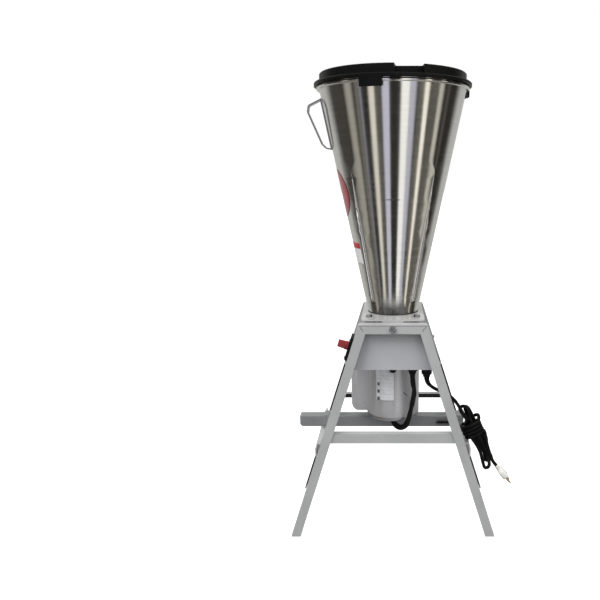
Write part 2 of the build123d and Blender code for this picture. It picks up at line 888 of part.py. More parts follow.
# Stator with its two winding heads, and the bearings
with BuildPart() as stator:
    ring(Plane.XY.offset(stator_low), shell_inner, stator_radius_in, stator_high - stator_low)
    for head_z in (stator_low - winding_height, stator_high):
        ring(
            Plane.XY.offset(head_z),
            stator_radius_in + winding_wall + air_gap,
            stator_radius_in + air_gap,
            winding_height,
        )
save(stator, "stator")

with BuildPart() as bearings:
    ring(
        Plane.XY.offset(bearing_low_z),
        bearing_low_radius,
        shaft_low_radius + running_fit,
        bearing_low_width,
    )
    ring(
        Plane.XY.offset(bearing_top_z),
        bearing_top_radius,
        shaft_top_radius + running_fit,
        bearing_top_width,
    )
save(bearings, "bearings")

# Capacitor under its pressed cover on the front of the motor
with BuildPart() as cover_hollow:
    with BuildSketch(Plane.XY.offset(cover_low + cover_wall)):
        Rectangle(cover_out - cover_wall, 2 * (cover_half - cover_wall), align=(Align.MAX, Align.CENTER))
    extrude(amount=cover_high - cover_low - 2 * cover_wall)
    fillet(cover_hollow.faces().sort_by(Axis.X)[0].edges(), cover_radius - cover_wall)
with BuildPart() as capacitor_cover:
    with BuildSketch(Plane.XY.offset(cover_low)):
        Rectangle(cover_out, 2 * cover_half, align=(Align.MAX, Align.CENTER))
    extrude(amount=cover_high - cover_low)
    fillet(capacitor_cover.faces().sort_by(Axis.X)[0].edges(), cover_radius)
    add(cover_hollow.part, mode=Mode.SUBTRACT)
    with BuildSketch(Plane.XY.offset(cover_low)):
        Circle(motor_radius)
    extrude(amount=cover_high - cover_low, mode=Mode.SUBTRACT)
save(capacitor_cover, "capacitor_cover")

capacitor_x = cover_out - cover_wall - body_gap - capacitor_radius
with BuildPart() as capacitor:
    with BuildSketch(Plane.XY.offset((cover_low + cover_high - capacitor_length) / 2)):
        with Locations((-capacitor_x, 0)):
            Circle(capacitor_radius)
    extrude(amount=capacitor_length)
save(capacitor, "capacitor")

# Rotor: stepped shaft, core, cooling fan and the blade stack in the bowl
blade_z = hub_low + hub_height
nut_top = blade_z + blade_wall + cap_nut_height
with BuildPart() as shaft:
    with BuildSketch(Plane.XZ):
        with BuildLine():
            Polyline(
                (0, shaft_foot),
                (shaft_low_radius, shaft_foot),
                (shaft_low_radius, bearing_low_z + bearing_low_width + shoulder_gap),
                (shaft_body_radius, bearing_low_z + bearing_low_width + shoulder_gap),
                (shaft_body_radius, bearing_top_z - shoulder_gap),
                (shaft_top_radius, bearing_top_z - shoulder_gap),
                (shaft_top_radius, floor_z),
                (shaft_bowl_radius, floor_z),
                (shaft_bowl_radius, blade_z),
                (shaft_thread_radius, blade_z),
                (shaft_thread_radius, nut_top - cap_nut_dome),
                (0, nut_top - cap_nut_dome),
                close=True,
            )
        make_face()
    revolve(axis=Axis.Z)
save(shaft, "shaft")

with BuildPart() as rotor_core:
    ring(
        Plane.XY.offset(stator_low),
        stator_radius_in - air_gap,
        shaft_body_radius,
        stator_high - stator_low,
    )
save(rotor_core, "rotor_core")

with BuildPart() as cooling_fan:
    ring(Plane.XY.offset(fan_z), shaft_body_radius + boss_wall, shaft_body_radius, fan_height)
    ring(Plane.XY.offset(fan_z), fan_radius, shaft_body_radius + boss_wall, fan_blade_wall)
    fan_inner = shaft_body_radius + boss_wall / 2
    with BuildSketch(Plane.XY.offset(fan_z)):
        with PolarLocations((fan_radius - fan_tip + fan_inner) / 2, fan_blades):
            Rectangle(fan_radius - fan_tip - fan_inner, fan_blade_wall)
    extrude(amount=fan_height)
save(cooling_fan, "cooling_fan")

with BuildPart() as blade_hub:
    with BuildSketch(Plane.XZ):
        with BuildLine():
            Polyline(
                (shaft_bowl_radius, hub_low),
                (hub_radius, hub_low),
                (hub_radius, hub_low + hub_height / 2),
                (blade_root, blade_z),
                (shaft_bowl_radius, blade_z),
                close=True,
            )
        make_face()
    revolve(axis=Axis.Z)
save(blade_hub, "blade_hub")

with BuildPart() as blade:
    ring(Plane.XY.offset(blade_z), hub_radius, shaft_thread_radius, blade_wall)
    for arm in range(4):
        arm_angle = radians(90 * arm)
        tilt = radians(blade_pitch if arm % 2 else -blade_pitch)
        along = Vector(cos(arm_angle) * cos(tilt), sin(arm_angle) * cos(tilt), sin(tilt))
        across = Vector(-sin(arm_angle), cos(arm_angle), 0)
        arm_plane = Plane(
            (cos(arm_angle) * blade_root / 2, sin(arm_angle) * blade_root / 2, blade_z + blade_wall / 2),
            x_dir=along,
            z_dir=along.cross(across),
        )
        with BuildSketch(arm_plane):
            with BuildLine():
                Polyline(
                    (0, -blade_root),
                    (blade_lead, -blade_tip),
                    (blade_length - blade_root / 2, blade_tip),
                    (0, blade_root),
                    close=True,
                )
            make_face()
        extrude(amount=blade_wall / 2, both=True)
    with BuildSketch(Plane.XY.offset(blade_z - hub_height)):
        Circle((blade_root + hub_radius) / 2)
    extrude(amount=hub_height, mode=Mode.SUBTRACT)
    with BuildSketch(Plane.XY.offset(blade_z + blade_wall)):
        Circle(cap_nut_across / sqrt(3) + body_gap)
    extrude(amount=cap_nut_height, mode=Mode.SUBTRACT)
    with BuildSketch(Plane.XY.offset(blade_z)):
        Circle(shaft_thread_radius)
    extrude(amount=blade_wall, mode=Mode.SUBTRACT)
save(blade, "blade")

with BuildPart() as blade_nut:
    flats = cap_nut_height - cap_nut_dome
    hex_nut(Plane.XY.offset(blade_z + blade_wall), cap_nut_across, flats, shaft_thread_radius)
    with BuildSketch(Plane.XY.offset(nut_top - cap_nut_dome)):
        Circle(cap_nut_across / 2)
    extrude(amount=cap_nut_dome, taper=30)
save(blade_nut, "blade_nut")

# Front switch on the near leg: face plate, contact block, screws and turning knob
switch_tall = (switch_plate_high - switch_plate_low) / cos(leg_angle)
switch_mid_z = (switch_plate_high + switch_plate_low) / 2
switch_mid_y = frame_half_depth - switch_plate_setback - switch_plate_width / 2
face_plane = leg_plane(-1, switch_mid_z, -switch_mid_y)
knob_plane = leg_plane(-1, switch_z, switch_setback - frame_half_depth)
screw_up = switch_tall / 2 - switch_screw_inset
screw_side = frame_half_depth - iron_flange / 2 + switch_screw_shift - switch_mid_y
with BuildPart() as switch_plate:
    with BuildSketch(face_plane):
        RectangleRounded(switch_plate_width, switch_tall, switch_plate_radius)
    extrude(amount=switch_plate_wall)
    chamfer(switch_plate.faces().sort_by(Axis.X)[0].edges(), switch_plate_edge)
    with BuildSketch(knob_plane):
        Circle(knob_shaft_radius + hole_fit)
    extrude(amount=switch_plate_wall, mode=Mode.SUBTRACT)
    with BuildSketch(face_plane):
        with Locations((screw_side, screw_up), (screw_side, -screw_up)):
            Circle(switch_screw_radius + hole_fit)
    extrude(amount=switch_plate_wall, mode=Mode.SUBTRACT)
save(switch_plate, "switch_plate")

with BuildPart() as switch_body:
    with BuildSketch(knob_plane):
        RectangleRounded(2 * switch_body_half, switch_body_height, switch_body_radius)
    extrude(amount=-switch_body_depth)
    with BuildSketch(knob_plane):
        Circle(knob_shaft_radius + running_fit)
    extrude(amount=-knob_shaft_length / 2 - shoulder_gap, mode=Mode.SUBTRACT)
save(switch_body, "switch_body")

with BuildPart() as switch_screws:
    for height in (-screw_up, screw_up):
        seat = face_plane.offset(switch_plate_wall)
        with BuildSketch(seat):
            with Locations((screw_side, height)):
                Circle(switch_screw_head)
        extrude(amount=switch_screw_rise, taper=25)
        with BuildSketch(seat):
            with Locations((screw_side, height)):
                Circle(switch_screw_radius)
        extrude(amount=-switch_plate_wall)
save(switch_screws, "switch_screws")

knob_seat = knob_plane.offset(switch_plate_wall + body_gap)
with BuildPart() as knob:
    with BuildSketch(knob_seat):
        Circle(knob_radius)
    extrude(amount=knob_base)
    with BuildSketch(knob_seat):
        SlotOverall(2 * knob_radius, knob_grip_wall, rotation=90)
    extrude(amount=knob_length, taper=3)
    chamfer(knob.faces().sort_by(Axis.X)[0].edges(), small_edge)
    with BuildSketch(knob_seat):
        Circle(knob_shaft_radius)
    extrude(amount=-switch_plate_wall - body_gap - knob_shaft_length / 2)
save(knob, "knob")

# Lock bar: an upturned channel on the cross bars, held by two straps, with its spring
bar_low = crossbar_top + body_gap
bar_top = bar_low + bar_height
bar_near = bar_centre_y - bar_width / 2
with BuildPart() as lock_bar:
    with BuildSketch(Plane.YZ.offset(bar_front)):
        with Locations((bar_centre_y, bar_low)):
            Rectangle(bar_width, bar_height, align=(Align.CENTER, Align.MIN))
    extrude(amount=bar_rear - bar_front)
    fillet(lock_bar.edges().filter_by(Axis.X).group_by(Axis.Z)[-1], bar_wall)
    fillet(lock_bar.edges().filter_by(Axis.Y).group_by(Axis.Z)[0].sort_by(Axis.X)[0], bar_corner)
    with BuildSketch(Plane.YZ.offset(bar_front + bar_wall)):
        with Locations((bar_centre_y, bar_low)):
            Rectangle(bar_width - 2 * bar_wall, bar_height - bar_wall, align=(Align.CENTER, Align.MIN))
    extrude(amount=bar_rear - bar_front - bar_wall, mode=Mode.SUBTRACT)
save(lock_bar, "lock_bar")

guide_front = -(crossbar_face + iron_wall - guide_setback)
with BuildPart() as bar_guides:
    for guide_low in (guide_front, -guide_front - guide_length):
        with BuildSketch(Plane.YZ.offset(guide_low)):
            with Locations((bar_centre_y, crossbar_top)):
                Rectangle(
                    bar_width + 2 * body_gap + 2 * guide_wall + 2 * guide_foot,
                    guide_wall,
                    align=(Align.CENTER, Align.MIN),
                )
                Rectangle(
                    bar_width + 2 * body_gap + 2 * guide_wall,
                    bar_height + 2 * body_gap + guide_wall,
                    align=(Align.CENTER, Align.MIN),
                )
                Rectangle(
                    bar_width + 2 * body_gap,
                    bar_height + 2 * body_gap,
                    align=(Align.CENTER, Align.MIN),
                    mode=Mode.SUBTRACT,
                )
        extrude(amount=guide_length)
    tab_x = -guide_front - guide_length
    with BuildSketch(Plane.XZ.offset(-bar_near + spring_offset)):
        with Locations((tab_x, crossbar_top)):
            Rectangle(guide_length, bar_height / 2 + spring_hook, align=(Align.MIN, Align.MIN))
    extrude(amount=guide_wall / 2, both=True)
save(bar_guides, "bar_guides")

spring_z = bar_low + bar_height / 2
spring_end = tab_x - spring_end_gap
spring_start = spring_pin_x + spring_pin_radius + spring_end_gap
with BuildPart() as spring_pin:
    with BuildSketch(Plane.XZ.offset(-bar_near)):
        with Locations((spring_pin_x, spring_z)):
            Circle(spring_pin_radius)
    extrude(amount=spring_pin_length)
save(spring_pin, "spring_pin")

spring_pitch = (spring_end - spring_start) / spring_turns
with BuildPart() as lock_spring:
    spring_line = Axis((spring_start, bar_near - spring_offset, spring_z), (1, 0, 0))
    with BuildSketch(Plane.XZ.offset(spring_offset - bar_near)):
        with Locations((spring_start, spring_z)):
            Rectangle(spring_end - spring_start, spring_radius - spring_wire / 2, align=(Align.MIN, Align.MIN))
        for turn in range(spring_turns):
            with Locations((spring_start + (turn + 0.5) * spring_pitch, spring_z + spring_radius - spring_wire)):
                Circle(spring_wire)
        with Locations((spring_start, spring_z)):
            Rectangle(
                spring_end - spring_start,
                2 * spring_wire,
                align=(Align.MIN, Align.MAX),
                mode=Mode.SUBTRACT,
            )
    revolve(axis=spring_line)
save(lock_spring, "lock_spring")

# Mains cord: gland on the apron's lip, free tube, tied hank, tail and plug
def gland(place_x, place_y, bottom):
    """Compression gland through the apron's lip: cone, hexagon and thread."""
    with BuildPart() as fitting:
        with BuildSketch(Plane((place_x, place_y, bottom), z_dir=(0, 0, 1))):
            Circle(gland_cone_radius)
        extrude(amount=gland_cone_height, taper=-12)
        with BuildSketch(Plane((place_x, place_y, bottom + gland_cone_height), z_dir=(0, 0, 1))):
            RegularPolygon(gland_radius, 6, major_radius=False)
        extrude(amount=apron_bottom - bottom - gland_cone_height)
        with BuildSketch(Plane((place_x, place_y, apron_bottom), z_dir=(0, 0, 1))):
            Circle(gland_thread)
        extrude(amount=sheet_wall + gland_nut_height + thread_end)
    return fitting


cord_gland = gland(gland_x, -gland_y, gland_bottom)
save(cord_gland, "cord_gland")
harness_grommet = gland(grommet_x, -grommet_y, grommet_bottom)
save(harness_grommet, "harness_grommet")

with BuildPart() as gland_nut:
    for place_x, place_y in ((gland_x, -gland_y), (grommet_x, -grommet_y)):
        seat = Plane((place_x, place_y, apron_bottom + sheet_wall), z_dir=(0, 0, 1))
        hex_nut(seat, 2 * gland_radius, gland_nut_height, gland_thread)
save(gland_nut, "gland_nut")


def cord_tube(points, diameter, name):
    """Round tube on straight runs joined by tangent arcs as large as the runs allow."""
    radii = []
    for before, corner, after in zip(points, points[1:], points[2:]):
        run_in = Vector(*corner) - Vector(*before)
        run_out = Vector(*after) - Vector(*corner)
        half_turn = radians(run_in.get_angle(run_out)) / 2
        radii.append(0.45 * min(run_in.length, run_out.length) * cos(half_turn) / sin(half_turn))
    print(name, "radii", [round(radius, 1) for radius in radii])
    with BuildPart() as tube:
        with BuildLine() as route:
            FilletPolyline(*points, radius=radii)
        with BuildSketch(Plane(points[0], z_dir=Vector(*points[1]) - Vector(*points[0]))):
            Circle(diameter / 2)
        sweep()
    length = sum(edge.length for edge in route.edges())
    fill = tube.part.volume / (pi * diameter**2 / 4 * length)
    print(name, "length", round(length, 1), "fill", round(fill, 4))
    return tube


cord_route = [
    (gland_x, -gland_y, gland_bottom),
    (gland_x, -gland_y, 388.0),
    (93.5, -97.6, 369.0),
    (114.0, -96.6, 361.5),
    (136.0, -94.5, 355.0),
    (152.0, -91.5, 339.0),
    (162.0, -hank_y, 323.0),
]
power_cord = cord_tube(cord_route, cord_diameter, "power_cord")
save(power_cord, "power_cord")

tail_route = [
    (228.0, -hank_y, 208.0),
    (238.0, -hank_y, 196.0),
    (247.5, -hank_y, 182.0),
    (258.0, -hank_y, 169.5),
]
hank_in = Vector(*cord_route[-1]) - Vector(*cord_route[-2])
hank_tip = (232.0, 159.0)
hank_lean = Vector(0.304, 0, -0.953)
with BuildPart() as cord_hank:
    for centre_x, centre_z, heading, wide, deep in (
        (cord_route[-1][0], cord_route[-1][2], hank_in, 8.0, 7.0),
        (179.0, 303.0, hank_in, 14.0, 11.0),
        (192.0, 288.0, hank_lean, 24.0, 17.0),
        (208.5, 248.5, hank_lean, 25.0, 18.0),
        (214.5, 231.0, hank_lean, 17.0, 12.0),
        (227.0, 190.0, hank_lean, 16.0, 12.0),
        (hank_tip[0], hank_tip[1], hank_lean, 8.0, 7.0),
    ):
        with BuildSketch(Plane((centre_x, -hank_y, centre_z), x_dir=(0, 1, 0), z_dir=heading)):
            Ellipse(deep, wide)
    loft(ruled=True)
save(cord_hank, "cord_hank")

tail = cord_tube(tail_route, cord_diameter, "cord_tail")
with BuildPart() as cord_tail:
    add(tail.part)
    add(cord_hank.part, mode=Mode.SUBTRACT)
save(cord_tail, "cord_tail")

plug_out = Vector(*tail_route[-1]) - Vector(*tail_route[-2])
plug_plane = Plane(tail_route[-1], x_dir=(0, 1, 0), z_dir=plug_out)
with BuildPart() as plug:
    with BuildSketch(plug_plane):
        Circle(plug_neck_radius)
    with BuildSketch(plug_plane.offset(plug_neck_length)):
        RectangleRounded(plug_width - 2 * plug_step, plug_depth - 2 * plug_step, plug_corner)
    loft()
    with BuildSketch(plug_plane.offset(plug_neck_length)):
        RectangleRounded(plug_width, plug_depth, plug_corner)
    extrude(amount=plug_body_length)
    with BuildSketch(plug_plane.offset(plug_neck_length + plug_body_length)):
        with Locations((-plug_pin_spread, 0), (plug_pin_spread, 0), (0, -plug_pin_middle)):
            Circle(plug_pin_radius)
    extrude(amount=plug_pin_length)
save(plug, "plug")

# Slack wiring from its gland to the foot of the motor, cut where it leaves the stand's side
wiring = cord_tube(harness_route, harness_diameter, "harness")
with BuildPart() as harness_lead:
    add(wiring.part)
    split(bisect_by=Plane.XZ.offset(harness_cut + body_gap / 2), keep=Keep.TOP)
save(harness_lead, "harness_lead")
with BuildPart() as harness:
    add(wiring.part)
    split(bisect_by=Plane.XZ.offset(harness_cut - body_gap / 2), keep=Keep.BOTTOM)
save(harness, "harness")
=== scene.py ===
# %% [markdown]
# A tilting blender. The CAD frame already holds every rigid piece at its real
# size, so this lesson only dresses it: a camera and a soft studio, the mains
# cord and the wiring as smooth tubes along splines, a few thin sheets such as
# a badge and a label, and a finish for every surface.

# %% Load the imported frame
import json
from math import atan, cos, pi, radians, sin

import bpy
import numpy as np
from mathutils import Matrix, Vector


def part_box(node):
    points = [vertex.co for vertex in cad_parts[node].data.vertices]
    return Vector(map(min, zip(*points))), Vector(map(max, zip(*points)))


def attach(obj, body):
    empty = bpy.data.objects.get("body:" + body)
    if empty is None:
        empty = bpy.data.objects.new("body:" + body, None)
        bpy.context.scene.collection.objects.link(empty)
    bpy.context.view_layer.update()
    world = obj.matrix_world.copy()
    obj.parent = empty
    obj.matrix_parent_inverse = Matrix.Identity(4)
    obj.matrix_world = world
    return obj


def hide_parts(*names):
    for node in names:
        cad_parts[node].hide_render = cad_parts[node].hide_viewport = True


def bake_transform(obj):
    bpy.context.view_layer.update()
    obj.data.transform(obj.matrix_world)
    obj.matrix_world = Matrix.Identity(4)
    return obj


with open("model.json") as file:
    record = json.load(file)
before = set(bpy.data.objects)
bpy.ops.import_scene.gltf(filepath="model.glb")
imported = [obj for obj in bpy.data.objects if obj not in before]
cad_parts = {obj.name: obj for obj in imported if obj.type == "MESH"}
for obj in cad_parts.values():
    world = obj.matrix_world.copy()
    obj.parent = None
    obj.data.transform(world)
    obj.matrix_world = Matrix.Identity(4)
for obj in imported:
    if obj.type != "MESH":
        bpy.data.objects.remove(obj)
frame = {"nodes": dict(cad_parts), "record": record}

scene = bpy.context.scene
nodes = frame["nodes"]
subparts = frame["record"]["subparts"]
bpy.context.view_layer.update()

# %% [markdown]
# The camera comes first, because everything else is judged through it. It
# stands on the near side and looks 12 degrees down. The object is right of
# the picture's middle and yet is seen straight from the side. A turned camera
# would show some of its end, so the lens is shifted sideways instead.

# %% Camera
picture_px = 600
focal_px = 620.0
axis_px = (392.9, 306.8)
look_down = 12
camera = bpy.data.objects.new("camera", bpy.data.cameras.new("camera"))
scene.collection.objects.link(camera)
camera.location = (0, -1.522, 0.8792)
camera.rotation_euler = (radians(90 - look_down), 0, 0)
camera.data.sensor_width = 36.0
camera.data.lens = camera.data.sensor_width * focal_px / picture_px
camera.data.shift_x = 0.5 - axis_px[0] / picture_px
camera.data.shift_y = axis_px[1] / picture_px - 0.5
scene.camera = camera
scene.view_settings.view_transform = "Standard"
print("lens", round(camera.data.lens, 1), "mm")

# %% [markdown]
# A finish is a small network of shader nodes, and most of it is arithmetic.
# Field wraps what a node gives, so that a sum of two patterns is written with
# a plus sign instead of a node and two links.

# %% Field
class Field:
    """A number, colour or vector that a node gives, to be reckoned with."""

    def __init__(self, finish, socket):
        self.finish = finish
        self.socket = socket

    def __add__(self, other):
        return self.finish.maths("ADD", self, other)

    def __radd__(self, other):
        return self.finish.maths("ADD", other, self)

    def __sub__(self, other):
        return self.finish.maths("SUBTRACT", self, other)

    def __rsub__(self, other):
        return self.finish.maths("SUBTRACT", other, self)

    def __mul__(self, other):
        return self.finish.maths("MULTIPLY", self, other)

    def __rmul__(self, other):
        return self.finish.maths("MULTIPLY", other, self)


# %% [markdown]
# Finish is the network itself. One method, node, adds any node from its type,
# its settings and the values or links of its sockets. The others only name
# the few nodes that paints, metals and plastics need again and again.

# %% Finish
class Finish:
    """A material, or the world, and the nodes that make it."""

    def __init__(self, name, holder=None):
        self.holder = holder or bpy.data.materials.new(name)
        self.holder.use_nodes = True
        self.tree = self.holder.node_tree
        self.tree.nodes.clear()

    def node(self, kind, settings=None, inputs=None, output=0):
        """Add a node: its settings first, then the values or links of its sockets."""
        made = self.tree.nodes.new(kind)
        for key, value in (settings or {}).items():
            setattr(made, key, value)
        for key, value in (inputs or {}).items():
            socket = made.inputs[key]
            if isinstance(value, Field):
                self.tree.links.new(value.socket, socket)
            elif hasattr(socket.default_value, "__len__"):
                room = len(socket.default_value)
                socket.default_value = (tuple(value) + (1.0,))[:room]
            else:
                socket.default_value = value
        return Field(self, made.outputs[output]) if made.outputs else made

    def maths(self, operation, *values):
        """One sum, by the name that Blender gives it, of one or two numbers or fields."""
        return self.node("ShaderNodeMath", {"operation": operation}, dict(enumerate(values)))

    def spread(self, value, low, high, new_low=0.0, new_high=1.0):
        """Carry low..high of a field to new_low..new_high, held at both ends."""
        return self.node(
            "ShaderNodeMapRange", {}, {0: value, 1: low, 2: high, 3: new_low, 4: new_high}
        )

    def mix(self, mask, first, second):
        """First colour where the mask is 0, second where it is 1."""
        return self.node(
            "ShaderNodeMix", {"data_type": "RGBA"}, {0: mask, 6: first, 7: second}, output=2
        )

    def spot(self, source="Object"):
        """Where a point of the surface is: Object coordinates, or the piece's own UV map."""
        return self.node("ShaderNodeTexCoord", output=source)

    def along(self, vector, axis):
        """One of a vector's three numbers."""
        return self.node("ShaderNodeSeparateXYZ", {}, {0: vector}, output=axis)

    def noise(self, scale, stretch=(1, 1, 1), detail=3.0, rough=0.5):
        """Cloudy pattern of about scale lumps per metre, packed closer by stretch along each axis."""
        place = self.node("ShaderNodeMapping", {}, {0: self.spot(), "Scale": stretch})
        return self.node(
            "ShaderNodeTexNoise", {}, {0: place, "Scale": scale, "Detail": detail, "Roughness": rough}
        )

    def shade(self, sockets, bump=None, height=0.0002):
        """Close the network with one Principled shader, raised by height where bump is 1."""
        if bump is not None:
            relief = self.node("ShaderNodeBump", {}, {"Height": bump, "Distance": height})
            sockets = {**sockets, "Normal": relief}
        body = self.node("ShaderNodeBsdfPrincipled", {}, sockets)
        self.node("ShaderNodeOutputMaterial", {}, {0: body})
        return self.holder


# %% [markdown]
# The bowl is a mirror for whatever stands round it, so the studio is part of
# its finish. A cone that widens upwards shows the room below its own height,
# and a mirror turned by an angle shows the room at twice that angle. The
# studio is therefore a dark room with a ring of tall soft boxes, seen only by
# glossy rays. The camera sees a plain pale backdrop, and matt surfaces get a
# light that is strong from above and weak from below.

# %% Studio ring
white, cream, daylight, brown = (1, 1, 0.97), (1, 0.95, 0.85), (0.93, 0.93, 1.1), (1, 0.93, 0.82)
# Each soft box: the angles on the bowl between which it shows, brightness, tint and blur of its edges
soft_boxes = (
    (-95, -60, 0.52, white, 10), (-57, -43, 0.06, brown, 3), (-40.5, -34, 0.42, cream, 3),
    (-31, -28, 0.20, brown, 2), (-27.5, -25.4, 0.30, daylight, 1), (-19.5, -14.5, 0.90, cream, 1.6),
    (-14.5, -9, 0.10, brown, 2), (-8.7, -2.8, 0.70, daylight, 0.8), (6.5, 13.5, 1.15, white, 1.6),
    (13.5, 18.5, 0.62, daylight, 1.6), (20, 24.5, 0.12, brown, 2), (25.5, 29.5, 1.25, cream, 0.8),
    (31, 37, 0.12, brown, 2), (38.5, 43, 0.66, cream, 1.8), (47, 50, 0.10, brown, 2),
    (62, 95, 0.52, white, 8),
)
dark_room = (0.026, 0.024, 0.020)
from_below, from_above = (0.20, 0.20, 0.205), (1.15, 1.15, 1.14)

studio = Finish("studio", bpy.data.worlds.new("studio"))
scene.world = studio.holder
heading = studio.spot("Generated")
east = studio.along(heading, "X")
north = studio.along(heading, "Y")
rise = studio.along(heading, "Z")
bowl_angle = studio.maths("ARCTAN2", east, north * -1.0) * (90 / pi)
ring = dark_room
for start, end, bright, tint, blur in soft_boxes:
    off_centre = studio.maths("ABSOLUTE", bowl_angle - (start + end) / 2)
    half = (end - start) / 2
    inside = studio.spread(off_centre, half + blur / 2, half - blur / 2)
    ring = studio.mix(inside, ring, tuple(bright * channel for channel in tint))
overhead = studio.mix(studio.spread(rise, -0.5, 0.9), from_below, from_above)
seen = studio.node("ShaderNodeLightPath", output="Is Camera Ray")
mirrored = studio.node("ShaderNodeLightPath", output="Is Glossy Ray")
backdrop = studio.mix(seen, studio.mix(mirrored, overhead, ring), (1.0, 1.0, 1.0))
room = studio.node("ShaderNodeBackground", {}, {0: backdrop, 1: 1.0})
studio.node("ShaderNodeOutputWorld", {}, {0: room})
print("studio soft boxes", len(soft_boxes))

# %% [markdown]
# Two large soft lights hang in front, left and right of the camera. They give
# the paint its gentle shading. They stay out of glossy rays, because the ring
# above already gives the bowl every reflection that it should have.

# %% Lights
def area_light(name, spot, aim, size, power):
    """Square soft light at spot. It is tipped by the angle between its way back and
    straight up, and turned by that way's heading, so that it faces aim."""
    light = bpy.data.objects.new(name, bpy.data.lights.new(name, "AREA"))
    light.data.size = size
    light.data.energy = power
    away = np.array(spot, float) - np.array(aim, float)
    away /= np.linalg.norm(away)
    light.rotation_euler = (np.arccos(away[2]), 0, np.arctan2(away[0], -away[1]))
    light.location = spot
    light.visible_glossy = False
    scene.collection.objects.link(light)
    print(name, power, "W")


lit_point = (0, 0, 0.4)
area_light("key_light", (-1.4, -1.5, 3.0), lit_point, 1.8, 62)
area_light("fill_light", (1.8, -1.7, 2.2), lit_point, 2.2, 24)

# %% [markdown]
# The floor is a plain pale sheet that glows a little, as a lit table does, so
# that it runs into the backdrop and still takes a soft shadow. It doesn't show
# in glossy rays, or the bowl would be one flat white, and it isn't part of the
# object.

# %% Floor
floor_half = 30.0
floor_mesh = bpy.data.meshes.new("floor")
floor_corners = np.array([(-1, -1, 0), (1, -1, 0), (1, 1, 0), (-1, 1, 0)]) * floor_half
floor_mesh.from_pydata(floor_corners.tolist(), [], [(0, 1, 2, 3)])
floor = bpy.data.objects.new("floor", floor_mesh)
scene.collection.objects.link(floor)
floor.visible_glossy = False
floor.visible_diffuse = False
floor_paint = Finish("floor_paint").shade(
    {
        "Base Color": (0.8, 0.8, 0.8), "Roughness": 0.9, "Specular IOR Level": 0.0,
        "Emission Color": (1.0, 1.0, 1.0), "Emission Strength": 0.55,
    }
)
floor_mesh.materials.append(floor_paint)
print("floor", floor_half * 2, "m wide")

# %% [markdown]
# New pieces are surfaces on a grid of points. The grid is worked out with
# numpy as a whole, and one helper turns it into quads with a UV map that
# measures metres along both ways. A second helper puts the finished piece on
# the body that carries it.

# %% Grid surfaces
def running_sum(steps):
    """Distance at each grid line: 0, then the sum of the steps so far, and one more step to close."""
    return np.concatenate([[0], np.cumsum(steps), [np.sum(steps) + steps[0]]])


def grid_mesh(name, grid, closed=False, flat=None):
    """Mesh of quads over grid[row, column].

    closed joins the last column to the first and caps both ends, as a tube needs.
    The UV map holds flat's two numbers for each point, or else the running sum
    of the mean distance from row to row and from column to column.
    """
    rows, columns = grid.shape[:2]
    row = np.arange(rows - 1)[:, None]
    column = np.arange(columns if closed else columns - 1)[None, :]
    corners = ((row, column), (row + 1, column), (row + 1, column + 1), (row, column + 1))
    faces = np.stack([r * columns + c % columns for r, c in corners], axis=-1).reshape(-1, 4)
    polygons = faces.tolist()
    if closed:
        polygons.append(list(range(columns)))
        polygons.append(list(range((rows - 1) * columns, rows * columns))[::-1])
    mesh = bpy.data.meshes.new(name)
    mesh.from_pydata(grid.reshape(-1, 3).tolist(), [], polygons)
    if flat is None:
        down = running_sum(np.linalg.norm(np.diff(grid, axis=0), axis=2).mean(axis=1))
        across = running_sum(np.linalg.norm(np.diff(grid, axis=1), axis=2).mean(axis=0))
        spots = [np.stack(np.broadcast_arrays(down[r], across[c]), axis=-1) for r, c in corners]
        uv = np.stack(spots, axis=2).reshape(-1, 2)
    else:
        uv = flat.reshape(-1, 2)[faces.reshape(-1)]
    on_caps = np.zeros((len(mesh.loops) - len(uv), 2))
    mesh.uv_layers.new(name="metres").data.foreach_set("uv", np.concatenate([uv, on_caps]).ravel())
    mesh.shade_smooth()
    mesh.validate()
    return mesh


def carry(name, mesh, material, body, stands_for=()):
    """Put a finished mesh or curve on the body that carries it."""
    piece = bpy.data.objects.new(name, mesh)
    scene.collection.objects.link(piece)
    mesh.materials.append(material)
    if body:
        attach(piece, body)
    if stands_for:
        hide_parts(*stands_for)
    print(name, "on", body or "two bodies")
    return piece


# %% [markdown]
# The mains cord is black rubber. It hangs from its gland, goes behind the
# rear leg and ends in a hank: three long loops of cord, one behind the other,
# tied by four turns of the cord itself. A hank hangs askew, so its points are
# easiest to give in its own directions: down it, to its side and to its back.
# Its middle leans out a little, as a bundle does under its own weight.

# %% Directions of the hank
hank_top = np.array([0.168, -0.088, 0.322])
hank_down = np.array([0.3724, 0, -0.928])
hank_side = np.array([0.928, 0, 0.3724])
hank_back = np.array([0, 1, 0])
lean_at = (0, 40, 70, 98, 125, 157, 175)
lean_by = (3, 4.5, 5.5, 13, 11.5, 6.5, 1.6)


def hank_point(down, side, back):
    """Point of the hank from millimetres down it, to its side and to its back.

    top + (down * hank_down + (side + lean) * hank_side + back * hank_back) / 1000,
    where the lean is read between lean_at and lean_by.
    """
    side = side + np.interp(down, lean_at, lean_by)
    return tuple(hank_top + (down * hank_down + side * hank_side + back * hank_back) / 1000)


print("hank leans by up to", max(lean_by), "mm")

# %% [markdown]
# A hank has three kinds of stretch, and each becomes control points of one
# spline: strands that run straight, folds where the cord turns back, and the
# turns that tie it. The turns are a helix, because that is what a hand makes
# when it winds the end round the bundle.

# %% Strands, folds and turns
def strand(heights, side, back):
    """Straight run of the cord down or up the hank, at these heights."""
    return [hank_point(height, side, back) for height in heights]


